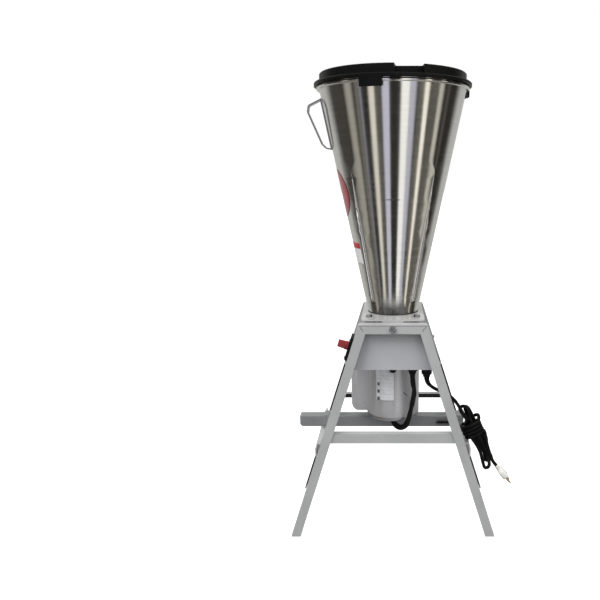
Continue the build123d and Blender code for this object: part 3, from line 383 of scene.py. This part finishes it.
def fold(middle, arrive, leave, reach):
    """Half a circle from one strand to the next: across = centre + half * cos(turn),
    down = middle + reach * sin(turn), for turns from 0 to pi. A little wide, by 4 %."""
    centre = (np.array(arrive) + np.array(leave)) / 2
    half = (np.array(arrive) - np.array(leave)) / 2 * 1.04
    turn = np.linspace(0, pi, 6)
    across = centre + half * np.cos(turn)[:, None]
    down = middle + reach * np.sin(turn)
    return [hank_point(d, *sides) for d, sides in zip(down, across)]


def tie_turns(first, pitch, turns, half_side, half_back, per_turn=14, square=3.2):
    """Turns round the bundle: a helix on the squarish oval |side|^n + |back|^n = 1, with
    n = square, that starts at 25 degrees and goes down by pitch each turn."""
    step = np.arange(per_turn * turns + 1)
    turn = radians(25) + 2 * pi * step / per_turn
    side = half_side * np.sign(np.cos(turn)) * np.abs(np.cos(turn)) ** (2 / square)
    back = -half_back * np.sign(np.sin(turn)) * np.abs(np.sin(turn)) ** (2 / square)
    return [hank_point(*spot) for spot in zip(first + pitch * step / per_turn, side, back)]


# %% [markdown]
# The route goes from the gland to the plug in one list. The stretches outside
# the hank are points given in metres. Inside it, the three loops lie
# in three layers, one cord's width behind the other, and the last strand comes
# forward to tie them.

# %% Route of the cord
cord_diameter = 0.0085
cord_exit = (0.081, -0.098, 0.405)
cord_start = [
    cord_exit,
    (0.0812, -0.098, 0.393),
    (0.0925, -0.0976, 0.379),
    (0.114, -0.0966, 0.368),
    (0.136, -0.0945, 0.357),
    (0.152, -0.0955, 0.342),
    (0.163, -0.1000, 0.3255),
]
cord_end = [(0.2475, -0.088, 0.182), (0.258, -0.088, 0.1695)]
tied = (56, 80)
front, middle, back = -8.6, 0.0, 8.6
cord_route = [
    *cord_start,
    hank_point(12, -4.5, -15.5),
    hank_point(24, 0, -16),
    hank_point(38, -10, -9.5),
    *strand(tied, -12.5, front),
    *strand((100,), -12, front),
    *strand((125, 148), -8.5, front),
    *fold(161, (-7.0, front), (7.0, front), 7.4),
    *strand((148, 125), 7.0, front),
    *strand((100, *tied[::-1], 34), 5.0, front),
    hank_point(18, 8, -8.2),
    *fold(6, (10.0, -8.0), (-8.0, 0.0), -10.5),
    hank_point(18, -7, middle),
    *strand((34, *tied, 100), -2.4, middle),
    *strand((125, 140), 0.4, middle),
    *fold(148, (0.4, middle), (12.8, middle), 7.8),
    *strand((140, 125, 100), 12.8, middle),
    *strand((*tied[::-1], 34), 13.5, middle),
    *fold(14, (12.5, 0.5), (3.0, 8.4), -12.0),
    hank_point(24, 3.2, back),
    *strand((*tied, 100), -11.0, back),
    *strand((125, 138), -8.0, back),
    *fold(147.5, (-7.6, back), (7.6, back), 8.0),
    *strand((138, 125, 100, *tied[::-1]), 8.0, back),
    hank_point(44, 8.8, 9.0),
    hank_point(37.5, 12, 10.0),
    hank_point(34, 19, 9.5),
    hank_point(33.5, 26, 5.5),
    hank_point(35, 27.5, -1.5),
    hank_point(39.5, 25, -7.5),
    *tie_turns(43, 9.4, 4, 23.2, 17.4),
    hank_point(90, 18.5, -13.5),
    hank_point(100, 13.5, -16.0),
    hank_point(114, 11.5, -16.0),
    hank_point(130, 12.5, -13.0),
    hank_point(146, 15.5, -6.0),
    *cord_end,
]
print("cord route", len(cord_route), "points")

# %% [markdown]
# A flexible thing is smooth everywhere, so its line is a NURBS spline with the
# route's points as control points. It cuts inside the corners, as rubber does.
# Pieces that sit along the cord need points on that smooth line, and Blender
# gives them when it makes a mesh of the curve while it has no thickness yet.

# %% Spline of the cord
def spline_curve(name, points, resolution=4):
    """Open NURBS spline of the third order that starts and ends at its end points."""
    curve = bpy.data.curves.new(name, "CURVE")
    curve.dimensions = "3D"
    spline = curve.splines.new("NURBS")
    spline.points.add(len(points) - 1)
    weighted = np.concatenate([np.array(points), np.ones((len(points), 1))], axis=1)
    spline.points.foreach_set("co", weighted.ravel())
    spline.order_u = 3
    spline.use_endpoint_u = True
    spline.resolution_u = resolution
    return curve


def spline_points(curve):
    """Points along a curve's own line, read from the mesh that Blender makes of it."""
    probe = bpy.data.objects.new("probe", curve)
    line = bpy.data.meshes.new_from_object(probe)
    points = np.zeros(len(line.vertices) * 3)
    line.vertices.foreach_get("co", points)
    bpy.data.objects.remove(probe)
    bpy.data.meshes.remove(line)
    return points.reshape(-1, 3)


cord_curve = spline_curve("mains_cord", cord_route)
cord_line = spline_points(cord_curve)
cord_curve.bevel_depth = cord_diameter / 2
cord_curve.bevel_resolution = 3
cord_curve.use_fill_caps = True

# %% [markdown]
# Rubber is nearly black, with a faint bloom of dust in patches and a fine
# grain. Two cloudy patterns of different size give both: the large one the
# dust, the small one the gloss and the relief.

# %% Rubber
finishes = {}


def rubber(name, shade, gloss, grain, dust):
    """Black rubber: shade + dust where the cloud is thick, gloss -0.06..+0.1 by the grain."""
    finish = Finish(name)
    bloom = finish.spread(finish.noise(60, detail=4), 0.45, 0.75)
    speck = finish.noise(grain, detail=2)
    dusty = (shade + dust, shade + dust, shade + dust * 0.9)
    sockets = {
        "Base Color": finish.mix(bloom, (shade, shade, shade), dusty),
        "Roughness": finish.spread(speck, 0.3, 0.7, gloss - 0.06, gloss + 0.1),
        "Specular IOR Level": 0.15,
    }
    return finish.shade(sockets, speck, 0.0002)


finishes["cord_rubber"] = rubber("cord_rubber", 0.0035, 0.45, 700, 0.006)
finishes["seal_rubber"] = rubber("seal_rubber", 0.02, 0.6, 500, 0.04)
print("rubbers", len(finishes))

# %% [markdown]
# Moulded plastic shows three things at once: the grain that the mould's steel
# had, faint flow marks in the colour, and a gloss that hands have rubbed. The
# lid, the knob, the switch and the plug differ only in colour and shine, so
# one function makes them all.

# %% Moulded plastics
def moulded(name, colour, rough, grain=900, relief=0.00006, drift=0.12, coat=0.0, shine=0.5):
    """Colour times 1 - drift to 1 + drift by the flow marks. Gloss: rough to rough + 0.16 by
    the rubbing, and 0.03 either way by the mould's grain."""
    finish = Finish(name)
    flow = finish.noise(14, stretch=(1, 1, 2.5), detail=2)
    mould_grain = finish.noise(grain, detail=2)
    rub = finish.noise(45, stretch=(1, 3, 1), detail=5, rough=0.65)
    lighter = tuple(min(1.0, channel * (1 + drift) + 0.001) for channel in colour)
    darker = tuple(channel * (1 - drift) for channel in colour)
    gloss = finish.spread(rub, 0.35, 0.75, rough, rough + 0.16)
    sockets = {
        "Base Color": finish.mix(finish.spread(flow, 0.3, 0.7), darker, lighter),
        "Roughness": gloss + finish.spread(mould_grain, 0, 1, -0.03, 0.03),
        "Specular IOR Level": shine, "Coat Weight": coat, "Coat Roughness": 0.15,
    }
    return finish.shade(sockets, mould_grain, relief)


plastics = {
    "lid_plastic": dict(colour=(0.0022, 0.0022, 0.0024), rough=0.36, drift=0.3, shine=0.22),
    "knob_plastic": dict(colour=(0.28, 0.022, 0.022), rough=0.28, coat=0.3),
    "switch_plastic": dict(colour=(0.004, 0.004, 0.005), rough=0.38, shine=0.2),
    "block_plastic": dict(colour=(0.03, 0.03, 0.032), rough=0.5),
    "fan_plastic": dict(colour=(0.04, 0.04, 0.042), rough=0.5),
    "gland_plastic": dict(colour=(0.003, 0.003, 0.0035), rough=0.45, shine=0.15),
    "plug_plastic": dict(colour=(0.78, 0.77, 0.73), rough=0.22, relief=0.00003, drift=0.03, coat=0.5),
}
for name, settings in plastics.items():
    finishes[name] = moulded(name, **settings)
print("plastics", len(plastics))

# %% [markdown]
# Everything that goes along a line, such as a sleeve, a pin or a strain
# relief, is one tube. At each point of the line a ring stands square to it,
# and the ring's radius may change along the way and round the ring.

# %% Tubes
def tube_grid(line, radius, sides):
    """Tube round a line: point = line + radius(distance, turn) * (cos(turn) * across + sin(turn) * up),
    where across and up are square to the line's direction and to each other."""
    step = np.linalg.norm(np.diff(line, axis=0), axis=1)
    distance = np.concatenate([[0], np.cumsum(step)])[:, None]
    forward = np.gradient(line, axis=0)
    forward /= np.linalg.norm(forward, axis=1)[:, None]
    across = np.cross(forward, np.array([1.0, 0, 0]))
    across /= np.linalg.norm(across, axis=1)[:, None]
    up = np.cross(across, forward)
    turn = np.linspace(0, 2 * pi, sides, endpoint=False)[None, :]
    out = np.cos(turn)[..., None] * across[:, None] + np.sin(turn)[..., None] * up[:, None]
    return line[:, None] + radius(distance, turn)[..., None] * out


def resampled(line, count, length):
    """count points, evenly spaced, over the first length of a line."""
    distance = np.concatenate([[0], np.cumsum(np.linalg.norm(np.diff(line, axis=0), axis=1))])
    wanted = np.linspace(0, length, count)
    return np.stack([np.interp(wanted, distance, line[:, axis]) for axis in range(3)], axis=1)


# %% [markdown]
# Where the cord leaves its gland it wears a tapered sleeve, so that it can't
# kink there. The sleeve bends with the cord, so it is a tube along the cord's
# own line. Its radius falls along the way and ripples into seven soft ribs.

# %% Strain relief
relief_length = 0.024
relief_ribs = 7


def relief_radius(distance, turn):
    """From 6.6 mm down to 4.7 mm, with ribs of a third of a millimetre: a cosine of the share gone."""
    share = distance / relief_length
    return 0.0066 - 0.0019 * share + 0.0003 * np.cos(share * 2 * pi * relief_ribs) + 0 * turn


relief_grid = tube_grid(resampled(cord_line, 57, relief_length), relief_radius, 32)
relief_mesh = grid_mesh("cord_relief", relief_grid, closed=True)
cord_relief = carry("cord_relief", relief_mesh, finishes["gland_plastic"], "stand")

# %% [markdown]
# The plug is a white moulding over three round pins. Its body is a row of
# rounded oblongs along the plug's line that grow from a ribbed neck to the
# full block, so one formula for a squarish oval gives every section.

# %% Plug body
plug_start = np.array(cord_end[-1])
plug_line = np.array([10.5, 0, -12.5])
plug_line /= np.linalg.norm(plug_line)
plug_wide = np.array([0, 1, 0])
plug_deep = np.cross(plug_wide, plug_line)

# Each ring: millimetres along the plug, half its width, half its depth, and its squareness
plug_rings = (
    (0, 4.6, 4.6, 2), (0.5, 5.4, 5.4, 2), (3, 5.9, 5.9, 2), (4, 5.3, 5.3, 2),
    (6, 6.2, 6.1, 2), (7, 5.5, 5.5, 2), (9, 6.6, 6.3, 2.1), (10, 6.1, 5.9, 2.2),
    (13, 9.0, 6.4, 2.6), (15.5, 13.2, 7.1, 3.2), (17, 14.3, 7.5, 3.6), (20, 14.8, 7.8, 4),
    (30, 15.0, 8.0, 4), (36, 14.9, 7.9, 4), (37.5, 14.2, 7.4, 3.8), (38, 12.6, 6.2, 3.6),
)


def oblong_rings(rings, sides=48):
    """Rings of squarish ovals, |wide|^n + |deep|^n = 1 with each ring's own n, square to the plug's line."""
    along, half_wide, half_deep, square = np.array(rings).T[..., None]
    turn = np.linspace(0, 2 * pi, sides, endpoint=False)[None, :]
    wide = np.sign(np.cos(turn)) * np.abs(np.cos(turn)) ** (2 / square) * half_wide / 1000
    deep = np.sign(np.sin(turn)) * np.abs(np.sin(turn)) ** (2 / square) * half_deep / 1000
    middle_line = plug_start + along / 1000 * plug_line
    return middle_line[:, None] + wide[..., None] * plug_wide + deep[..., None] * plug_deep


plug_mesh = grid_mesh("plug_body", oblong_rings(plug_rings), closed=True)
plug_body = carry("plug_body", plug_mesh, finishes["plug_plastic"], "stand", ["plug"])

# %% [markdown]
# The pins are turned brass with a domed tip. A turned form is a tube along a
# straight line whose radius is given at each step. Turning leaves fine marks
# across the brass, in colour and gloss.

# %% Plug pins
pin_start = 0.0378


def pin_grid(side, shift, sides=20):
    """Round pin with a domed tip: its radii fall towards the tip. It starts 0.2 mm inside the
    plug's face, to the side and shifted by the given metres."""
    along = np.array([0, 14, 16, 17.5, 18.5, 19]) / 1000
    radii = np.array([2.0, 2.0, 1.9, 1.55, 0.95, 0.3]) / 1000
    foot = plug_start + plug_line * pin_start + plug_wide * side + plug_deep * shift
    line = foot + along[:, None] * plug_line
    return tube_grid(line, lambda distance, turn: radii[:, None] + 0 * turn, sides)


brass = Finish("pin_brass")
rub_marks = brass.spread(brass.noise(300, stretch=(1, 1, 6), detail=4), 0.3, 0.7)
pin_brass = brass.shade(
    {
        "Base Color": brass.mix(rub_marks, (0.62, 0.46, 0.26), (0.8, 0.66, 0.44)),
        "Metallic": 1.0,
        "Roughness": brass.spread(rub_marks, 0, 1, 0.22, 0.4),
    }
)
pin_places = {
    "plug_pin_left": (-0.0095, 0.0),
    "plug_pin_right": (0.0095, 0.0),
    "plug_pin_middle": (0.0, 0.003),
}
plug_pins = [
    carry(name, grid_mesh(name, pin_grid(*place), closed=True), pin_brass, "stand")
    for name, place in pin_places.items()
]

# %% [markdown]
# Now that the pieces on the cord exist, the cord itself is put on the stand.
# It stands for the three plain solids that the CAD keeps for it, and they are
# hidden.

# %% Mains cord
cord_solids = ["power_cord", "cord_hank", "cord_tail"]
mains_cord = carry(
    "mains_cord", cord_curve, finishes["cord_rubber"], "stand", cord_solids
)

# %% [markdown]
# The motor's wires run in a taped black sleeve from a second gland to the
# foot of the motor. The sleeve is a tube along its own spline. Its radius
# swells and shrinks where the tape was pulled tight, with a small step where
# each turn of tape overlaps the last, and it is fattest where it bends.

# %% Harness route and sleeve
harness_diameter = 0.012
harness_exit = (0.047, -0.097, 0.413)
harness_route = [
    harness_exit,
    (0.047, -0.097, 0.389),
    (0.053, -0.088, 0.366),
    (0.050, -0.081, 0.341),
    (0.045, -0.076, 0.314),
    (0.0395, -0.0745, 0.290),
    (0.032, -0.068, 0.2655),
    (0.017, -0.053, 0.2535),
    (0.0015, -0.037, 0.2595),
    (0.0, -0.036, 0.2806),
]
harness_curve = spline_curve("harness_line", harness_route, 16)
harness_line = spline_points(harness_curve)
bpy.data.curves.remove(harness_curve)
tape_step = 0.011
bend_at, bend_reach = 0.180, 0.035


def taped_radius(distance, turn):
    """Half the sleeve's width: slow sine swellings, a bell curve exp(-((d - bend_at) / bend_reach)^2)
    at the bend, three wires inside as a cosine of three turns, and a saw tooth for the tape."""
    swell = 0.00045 * np.sin(distance * 95 + 0.6) + 0.0003 * np.sin(distance * 210 + 2)
    bend = 0.0019 * np.exp(-(((distance - bend_at) / bend_reach) ** 2))
    wires = 0.00035 * np.cos(3 * turn + distance * 60)
    overlap = 0.00028 * ((distance / tape_step + turn / (2 * pi)) % 1.0)
    return harness_diameter / 2 - 0.0004 + swell + bend + wires + overlap


harness_mesh = grid_mesh("harness_sleeve", tube_grid(harness_line, taped_radius, 36), closed=True)

# %% [markdown]
# The tape is black and has a dull sheen that changes from patch to patch. The
# sleeve crosses the tilting joint: its top stays with the stand and its foot
# with the motor, so it is put on no single body and stays in place.

# %% Harness tape and joint
tape = Finish("tape")
tape_cloud = tape.noise(120, detail=4)
tape_grain = tape.noise(1500, detail=2)
tape_black, tape_worn = (0.003, 0.003, 0.0032), (0.010, 0.010, 0.011)
finishes["sleeve"] = tape.shade(
    {
        "Base Color": tape.mix(tape.spread(tape_cloud, 0.4, 0.75), tape_black, tape_worn),
        "Roughness": tape.spread(tape_cloud, 0.3, 0.7, 0.3, 0.55),
        "Specular IOR Level": 0.2,
    },
    tape_grain,
    0.0001,
)
harness_sleeve = carry(
    "harness_sleeve", harness_mesh, finishes["sleeve"], None, ["harness", "harness_lead"]
)
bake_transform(harness_sleeve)

# %% [markdown]
# Paint over steel has more in it than one grey: a slow drift where the spray
# was heavier, the fine dimples called orange peel, dark smudges, and a few
# chips where tools have knocked it. The insides of the angle irons low down
# get painted shade, nearly black, where shadow falls in them.

# %% Paint
iron_wall = 0.0032
steel_grey = (0.12, 0.11, 0.10)
inside_shade_black = (0.012, 0.012, 0.013)


def iron_inside_shade(finish, iron):
    """Mask of painted shade on an angle iron's inside, below z = 0.37 to 0.40: the planes at |y| = outer
    face - wall and at |y| = free edge, each half a millimetre deep."""
    edge, outer = sorted(abs(corner[1]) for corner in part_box(iron))
    spot = finish.spot()
    depth = finish.maths("ABSOLUTE", finish.along(spot, "Y"))
    off_plane = finish.maths("ABSOLUTE", depth - (outer - iron_wall))
    inner_face = finish.spread(off_plane, 0.0007, 0.0005)
    free_edge = finish.spread(depth, edge + 0.0007, edge + 0.0005)
    low_down = finish.spread(finish.along(spot, "Z"), 0.40, 0.37)
    return finish.maths("MAXIMUM", inner_face, free_edge) * low_down


def paint(name, colour, rough, peel=0.00012, chips=0.0, coat=0.0, streak=(1, 1, 1), silver=0.0, iron=None):
    """Sprayed paint: colour times 0.9 to 1.07 by a slow drift, darker by smudges, steel in the chips.

    peel is the depth of the orange peel, streak stretches the drift, silver is
    the share of metal flake, and iron names an angle iron whose inside gets painted shade.
    """
    finish = Finish(name)
    drift = finish.noise(9, stretch=streak, detail=4)
    dimple = finish.noise(420, detail=2)
    scuff = finish.noise(38, stretch=(1, 1, 4), detail=6, rough=0.7)
    light = tuple(min(1.0, channel * 1.07) for channel in colour)
    dark = tuple(channel * 0.9 for channel in colour)
    base = finish.mix(finish.spread(drift, 0.3, 0.7), dark, light)
    smudge = finish.spread(scuff, 0.62, 0.8, 0.0, 0.35)
    base = finish.mix(smudge, base, tuple(channel * 0.62 for channel in colour))
    if chips:
        knocks = finish.noise(75, detail=5, rough=0.75)
        base = finish.mix(finish.spread(knocks, 0.735 - chips, 0.745 - chips), base, steel_grey)
    # Painted shade: the inside of the angle iron, low down, is mixed to near black where shadow falls.
    if iron:
        base = finish.mix(iron_inside_shade(finish, iron), base, inside_shade_black)
    sockets = {
        "Base Color": base, "Metallic": silver, "Coat Weight": coat, "Coat Roughness": 0.12,
        "Roughness": finish.spread(scuff, 0.3, 0.75, rough - 0.05, rough + 0.14),
    }
    return finish.shade(sockets, dimple, peel)


# %% [markdown]
# The stand is one grey, its aprons a little bluer, the plate glossier because
# it is wiped after each batch, and the bar and the motor have silver paint.
# Each angle iron gets its own copy of the grey, which knows where its inside is, to paint shade there.

# %% Paints
stand_grey = dict(colour=(0.43, 0.435, 0.435), rough=0.42, chips=0.01)
angle_irons = ("side_frame_near", "side_frame_far", "tie_bar_near", "tie_bar_far")
paints = {
    "stand_paint": stand_grey,
    "apron_paint": dict(colour=(0.455, 0.46, 0.48), rough=0.42, chips=0.01),
    "plate_paint": dict(colour=(0.47, 0.47, 0.465), rough=0.16, peel=0.00004, coat=0.6),
    "bar_paint": dict(colour=(0.30, 0.305, 0.31), rough=0.34, chips=0.01, silver=0.45),
    "motor_paint": dict(
        colour=(0.55, 0.55, 0.56), rough=0.3, peel=0.00008, coat=0.15, streak=(1, 1, 0.3), silver=0.4
    ),
    **{f"{iron}_paint": dict(**stand_grey, iron=iron) for iron in angle_irons},
}
for name, settings in paints.items():
    finishes[name] = paint(name, **settings)
print("paints", len(paints))

# %% [markdown]
# Bare metals differ in how they were worked. The bowl is spun and then
# brushed round, so its scratches run level and blur reflections up and down:
# that is what the anisotropic value says, and the streaks in roughness and
# relief follow the same way. Turned steel has finer rings, castings have a
# grain, and zinc plating has a faint spangle.

# %% Metals
def metal(name, dark, light, rough, stretch=(1, 1, 1), scale=60, relief=0.00003, soil=0.0, brushed=0.0):
    """Bare metal: dark to light by its streaks, rough -0.06..+0.08 by streaks and cloud, soil in patches."""
    finish = Finish(name)
    streak = finish.noise(scale, stretch=stretch, detail=4, rough=0.6)
    cloud = finish.noise(11, detail=4)
    base = finish.mix(finish.spread(streak, 0.3, 0.7), dark, light)
    if soil:
        stain = finish.spread(cloud, 0.5, 0.8, 0.0, soil)
        base = finish.mix(stain, base, tuple(channel * 0.45 for channel in dark))
    gloss = finish.spread(streak, 0.25, 0.75, rough - 0.04, rough + 0.05)
    sockets = {
        "Base Color": base, "Metallic": 1.0,
        "Roughness": gloss + finish.spread(cloud, 0.3, 0.7, -0.02, 0.03),
        "Anisotropic": brushed, "Anisotropic Rotation": 0.25,
    }
    return finish.shade(sockets, streak, relief)


metals = {
    "stainless": dict(
        dark=(0.68, 0.67, 0.64), light=(0.80, 0.79, 0.76), rough=0.17,
        stretch=(0.12, 0.12, 9.0), relief=0.0000012, brushed=0.95,
    ),
    "handle_steel": dict(
        dark=(0.34, 0.34, 0.34), light=(0.5, 0.5, 0.5), rough=0.3,
        stretch=(1, 0.1, 1), scale=900, relief=0.00002,
    ),
    "zinc_steel": dict(
        dark=(0.6, 0.6, 0.58), light=(0.82, 0.82, 0.8), rough=0.26, scale=260, relief=0.00004, soil=0.5
    ),
    "turned_steel": dict(
        dark=(0.58, 0.58, 0.59), light=(0.74, 0.74, 0.75), rough=0.2, stretch=(0.1, 0.1, 12), scale=160
    ),
    "core_steel": dict(
        dark=(0.16, 0.16, 0.17), light=(0.42, 0.42, 0.43), rough=0.4,
        stretch=(0.02, 0.02, 1), scale=1400, relief=0.0001,
    ),
    "bronze": dict(dark=(0.42, 0.27, 0.12), light=(0.62, 0.43, 0.22), rough=0.3, scale=240, soil=0.4),
    "motor_alloy": dict(
        dark=(0.48, 0.48, 0.49), light=(0.62, 0.62, 0.63), rough=0.42, scale=520, relief=0.00012, soil=0.35
    ),
    "capacitor_can": dict(
        dark=(0.62, 0.62, 0.63), light=(0.8, 0.8, 0.81), rough=0.24, stretch=(1, 1, 0.05), scale=300
    ),
    "spring_steel": dict(dark=(0.02, 0.02, 0.022), light=(0.07, 0.07, 0.075), rough=0.35, scale=400),
}
for name, settings in metals.items():
    finishes[name] = metal(name, **settings)
print("metals", len(metals))

# %% [markdown]
# Badge, label and rating plate are thin sheets bent round a wall that is
# itself round: the bowl is a cone and the motor a cylinder. A sheet is drawn
# flat first, across and up from its middle, and then wrapped: its turn round
# the wall is the way across over the wall's radius at that height. The flat
# way across and up is kept as its UV map, so its print is drawn in metres.

# %% Sheets on a round wall
bowl_low, bowl_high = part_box("bowl")
bowl_slope = 0.209385
plate_top_radius = 0.0616
bowl_lift = 0.002
motor_radius = 0.067


def bowl_radius(height):
    """Radius of the bowl's outer wall at a height: the radius that the cone would have on the
    plate's top, plus the slope times the height above it."""
    return plate_top_radius + bowl_slope * (bowl_lift + height - bowl_low[2])


def motor_wall(height):
    """Radius of the motor's shell, the same at every height."""
    return motor_radius + 0 * height


def wrapped_sheet(name, wall, turn, height, wide, tall, tilt=0.0, round_share=0.1, proud=0.0002, count=25):
    """Thin sheet on a round wall, centred at a turn in degrees and a height.

    A square grid u, v in -1..1 is pulled towards a disc by k = round_share:
    across = wide / 2 * u * (1 - k + k * sqrt(1 - v^2 / 2)), and the same for up,
    so k = 1 is an ellipse and a small k rounds the corners. Then both are turned
    by tilt, and angle = turn + across / radius.
    """
    line = np.linspace(-1, 1, count)
    u, v = np.meshgrid(line, line, indexing="ij")
    across = wide / 2 * u * (1 - round_share + round_share * np.sqrt(1 - v ** 2 / 2))
    up = tall / 2 * v * (1 - round_share + round_share * np.sqrt(1 - u ** 2 / 2))
    turned_across = across * cos(tilt) - up * sin(tilt)
    turned_up = across * sin(tilt) + up * cos(tilt)
    slant = cos(atan(bowl_slope)) if wall is bowl_radius else 1.0
    z = height + turned_up * slant
    radius = wall(z)
    angle = radians(turn) + turned_across / radius
    grid = np.stack([(radius + proud) * np.sin(angle), -(radius + proud) * np.cos(angle), z], axis=-1)
    return grid_mesh(name, grid, flat=np.stack([across, up], axis=-1))


def stick_on(mesh, material, thickness=0.0005):
    """Give a sheet its thickness, inwards into the wall, and put it on the tilting unit."""
    piece = carry(mesh.name, mesh, material, "tilt_unit")
    solid = piece.modifiers.new("thickness", "SOLIDIFY")
    solid.thickness = thickness
    solid.offset = -1


print("bowl's radius from", round(bowl_radius(bowl_low[2]), 4), "to", round(bowl_radius(bowl_high[2]), 4))

# %% [markdown]
# The round badge is red enamel with a slightly raised, darker rim. Enamel
# pools as it melts, so its red is a little uneven. It sits on the front of
# the bowl, towards -X, and its print is drawn from its own UV map: the rim is
# where the distance from the middle passes nine tenths of the radius.

# %% Badge
front_turn = -83
badge_size = 0.114


def flat_way(finish):
    """The sheet's own way across and up, in metres, as fields."""
    spot = finish.spot("UV")
    return finish.along(spot, "X"), finish.along(spot, "Y")


enamel = Finish("badge_enamel")
across, up = flat_way(enamel)
from_middle = enamel.maths("SQRT", across * across + up * up)
rim = enamel.spread(from_middle, badge_size * 0.45, badge_size * 0.455)
pool = enamel.spread(enamel.noise(40), 0.3, 0.7)
red = enamel.mix(pool, (0.30, 0.008, 0.018), (0.42, 0.014, 0.026))
badge_enamel = enamel.shade(
    {
        "Base Color": enamel.mix(rim, red, (0.16, 0.006, 0.012)),
        "Roughness": enamel.spread(pool, 0, 1, 0.22, 0.36),
        "Coat Weight": 0.5,
    },
    rim,
    0.0003,
)
badge_mesh = wrapped_sheet(
    "bowl_badge", bowl_radius, front_turn, 0.838, badge_size, badge_size,
    round_share=1.0, proud=0.0005, count=41,
)
stick_on(badge_mesh, badge_enamel, 0.0008)

# %% [markdown]
# The label under the badge is white vinyl with a red band along its top. The
# band is a mask on the way up, and scuffs change the gloss of both colours.

# %% Label
label_wide, label_tall = 0.095, 0.053
red_band = 0.014
band_edge = label_tall / 2 - red_band
vinyl = Finish("label_vinyl")
across, up = flat_way(vinyl)
band = vinyl.spread(up, band_edge - 0.0003, band_edge)
scuff = vinyl.noise(70, detail=5)
vinyl_white = vinyl.mix(vinyl.spread(scuff, 0.4, 0.8), (0.80, 0.80, 0.79), (0.68, 0.68, 0.66))
label_vinyl = vinyl.shade(
    {
        "Base Color": vinyl.mix(band, vinyl_white, (0.52, 0.02, 0.03)),
        "Roughness": vinyl.spread(scuff, 0.3, 0.7, 0.3, 0.45),
    },
    scuff,
    0.00002,
)
label_mesh = wrapped_sheet(
    "bowl_label", bowl_radius, front_turn, 0.6955, label_wide, label_tall, round_share=0.08
)
stick_on(label_mesh, label_vinyl)

# %% [markdown]
# A short level line is stamped on the near side of the bowl, and a slot in
# the motor's shell. Each is a lens shaped sheet, a fifth of a millimetre
# proud, dark grey as painted shade of a groove, because a real groove this
# thin would need the CAD's own mesh.

# %% Level line and motor slot
# Painted shade: a dark grey sheet stands for the shade inside a thin groove.
groove_shade = Finish("groove_shade_line")
stamp_grain = groove_shade.noise(900, detail=3)
groove_shade_line = groove_shade.shade(
    {
        "Base Color": groove_shade.mix(stamp_grain, (0.05, 0.05, 0.05), (0.12, 0.12, 0.12)),
        "Metallic": 0.6,
        "Roughness": groove_shade.spread(stamp_grain, 0, 1, 0.4, 0.6),
    },
    stamp_grain,
    0.00002,
)
level_mesh = wrapped_sheet("level_line", bowl_radius, 0.4, 0.825, 0.032, 0.0018, round_share=0.6)
stick_on(level_mesh, groove_shade_line)
slot_mesh = wrapped_sheet(
    "motor_slot", motor_wall, 27.5, 0.3465, 0.0165, 0.0021, tilt=radians(-42), round_share=0.8
)
stick_on(slot_mesh, groove_shade_line)

# %% [markdown]
# The motor's rating plate is a white sheet with plain ruled rows, one upright
# line between two columns, and small dark boxes in the lower rows. Each is a
# mask: PINGPONG folds the way up into equal rows, so one line becomes many.

# %% Rating plate
plate_wide, plate_tall = 0.047, 0.094
row_height = 0.0094
ruling = Finish("rating_plate")
across, up = flat_way(ruling)
to_line = ruling.maths("PINGPONG", up, row_height / 2)
to_column = ruling.maths("ABSOLUTE", across + 0.011)
to_middle = ruling.maths("ABSOLUTE", across)
row_line = ruling.spread(to_line, 0.00035, 0.0002)
column_line = ruling.spread(to_column, 0.00035, 0.0002)
inside_border = ruling.spread(to_middle, plate_wide / 2 - 0.002, plate_wide / 2 - 0.0024)
lines = ruling.maths("MAXIMUM", row_line, column_line) * inside_border * 0.5
box_height = ruling.spread(ruling.maths("PINGPONG", up + row_height / 2, row_height), 0.0042, 0.0039)
box_width = ruling.spread(ruling.maths("ABSOLUTE", across + 0.0165), 0.0036, 0.0033)
lower_half = ruling.spread(up, 0.004, 0.0035)
ink = ruling.maths("MAXIMUM", lines, box_height * box_width * lower_half)
fade = ruling.noise(90, detail=4)
paper = ruling.mix(ruling.spread(fade, 0.35, 0.75), (0.80, 0.81, 0.83), (0.66, 0.67, 0.69))
rating_paper = ruling.shade(
    {
        "Base Color": ruling.mix(ink, paper, (0.10, 0.10, 0.11)),
        "Roughness": ruling.spread(fade, 0.3, 0.7, 0.35, 0.5),
    },
    fade,
    0.00002,
)
rating_mesh = wrapped_sheet(
    "rating_plate", motor_wall, -18, 0.377, plate_wide, plate_tall, round_share=0.04
)
stick_on(rating_mesh, rating_paper)

# %% [markdown]
# Each CAD node takes the finish that its record names, by filling the
# material slots of its object. The mesh itself isn't touched. A few nodes
# need a finish of their own: the handle, the aprons and the angle irons. The
# plate stays out of glossy rays, so that the bowl's foot mirrors the room.

# %% Finish the CAD nodes
own_finishes = {
    "bowl_handle": "handle_steel", "apron_near": "apron_paint", "apron_far": "apron_paint",
    **{iron: f"{iron}_paint" for iron in angle_irons},
}
for part in subparts:
    name = part["node"]
    slots = nodes[name].data.materials
    slots.clear()
    slots.append(finishes[own_finishes.get(name, part["material_slot"])])
nodes["tilt_plate"].visible_glossy = False
print("finished", len(subparts), "nodes")
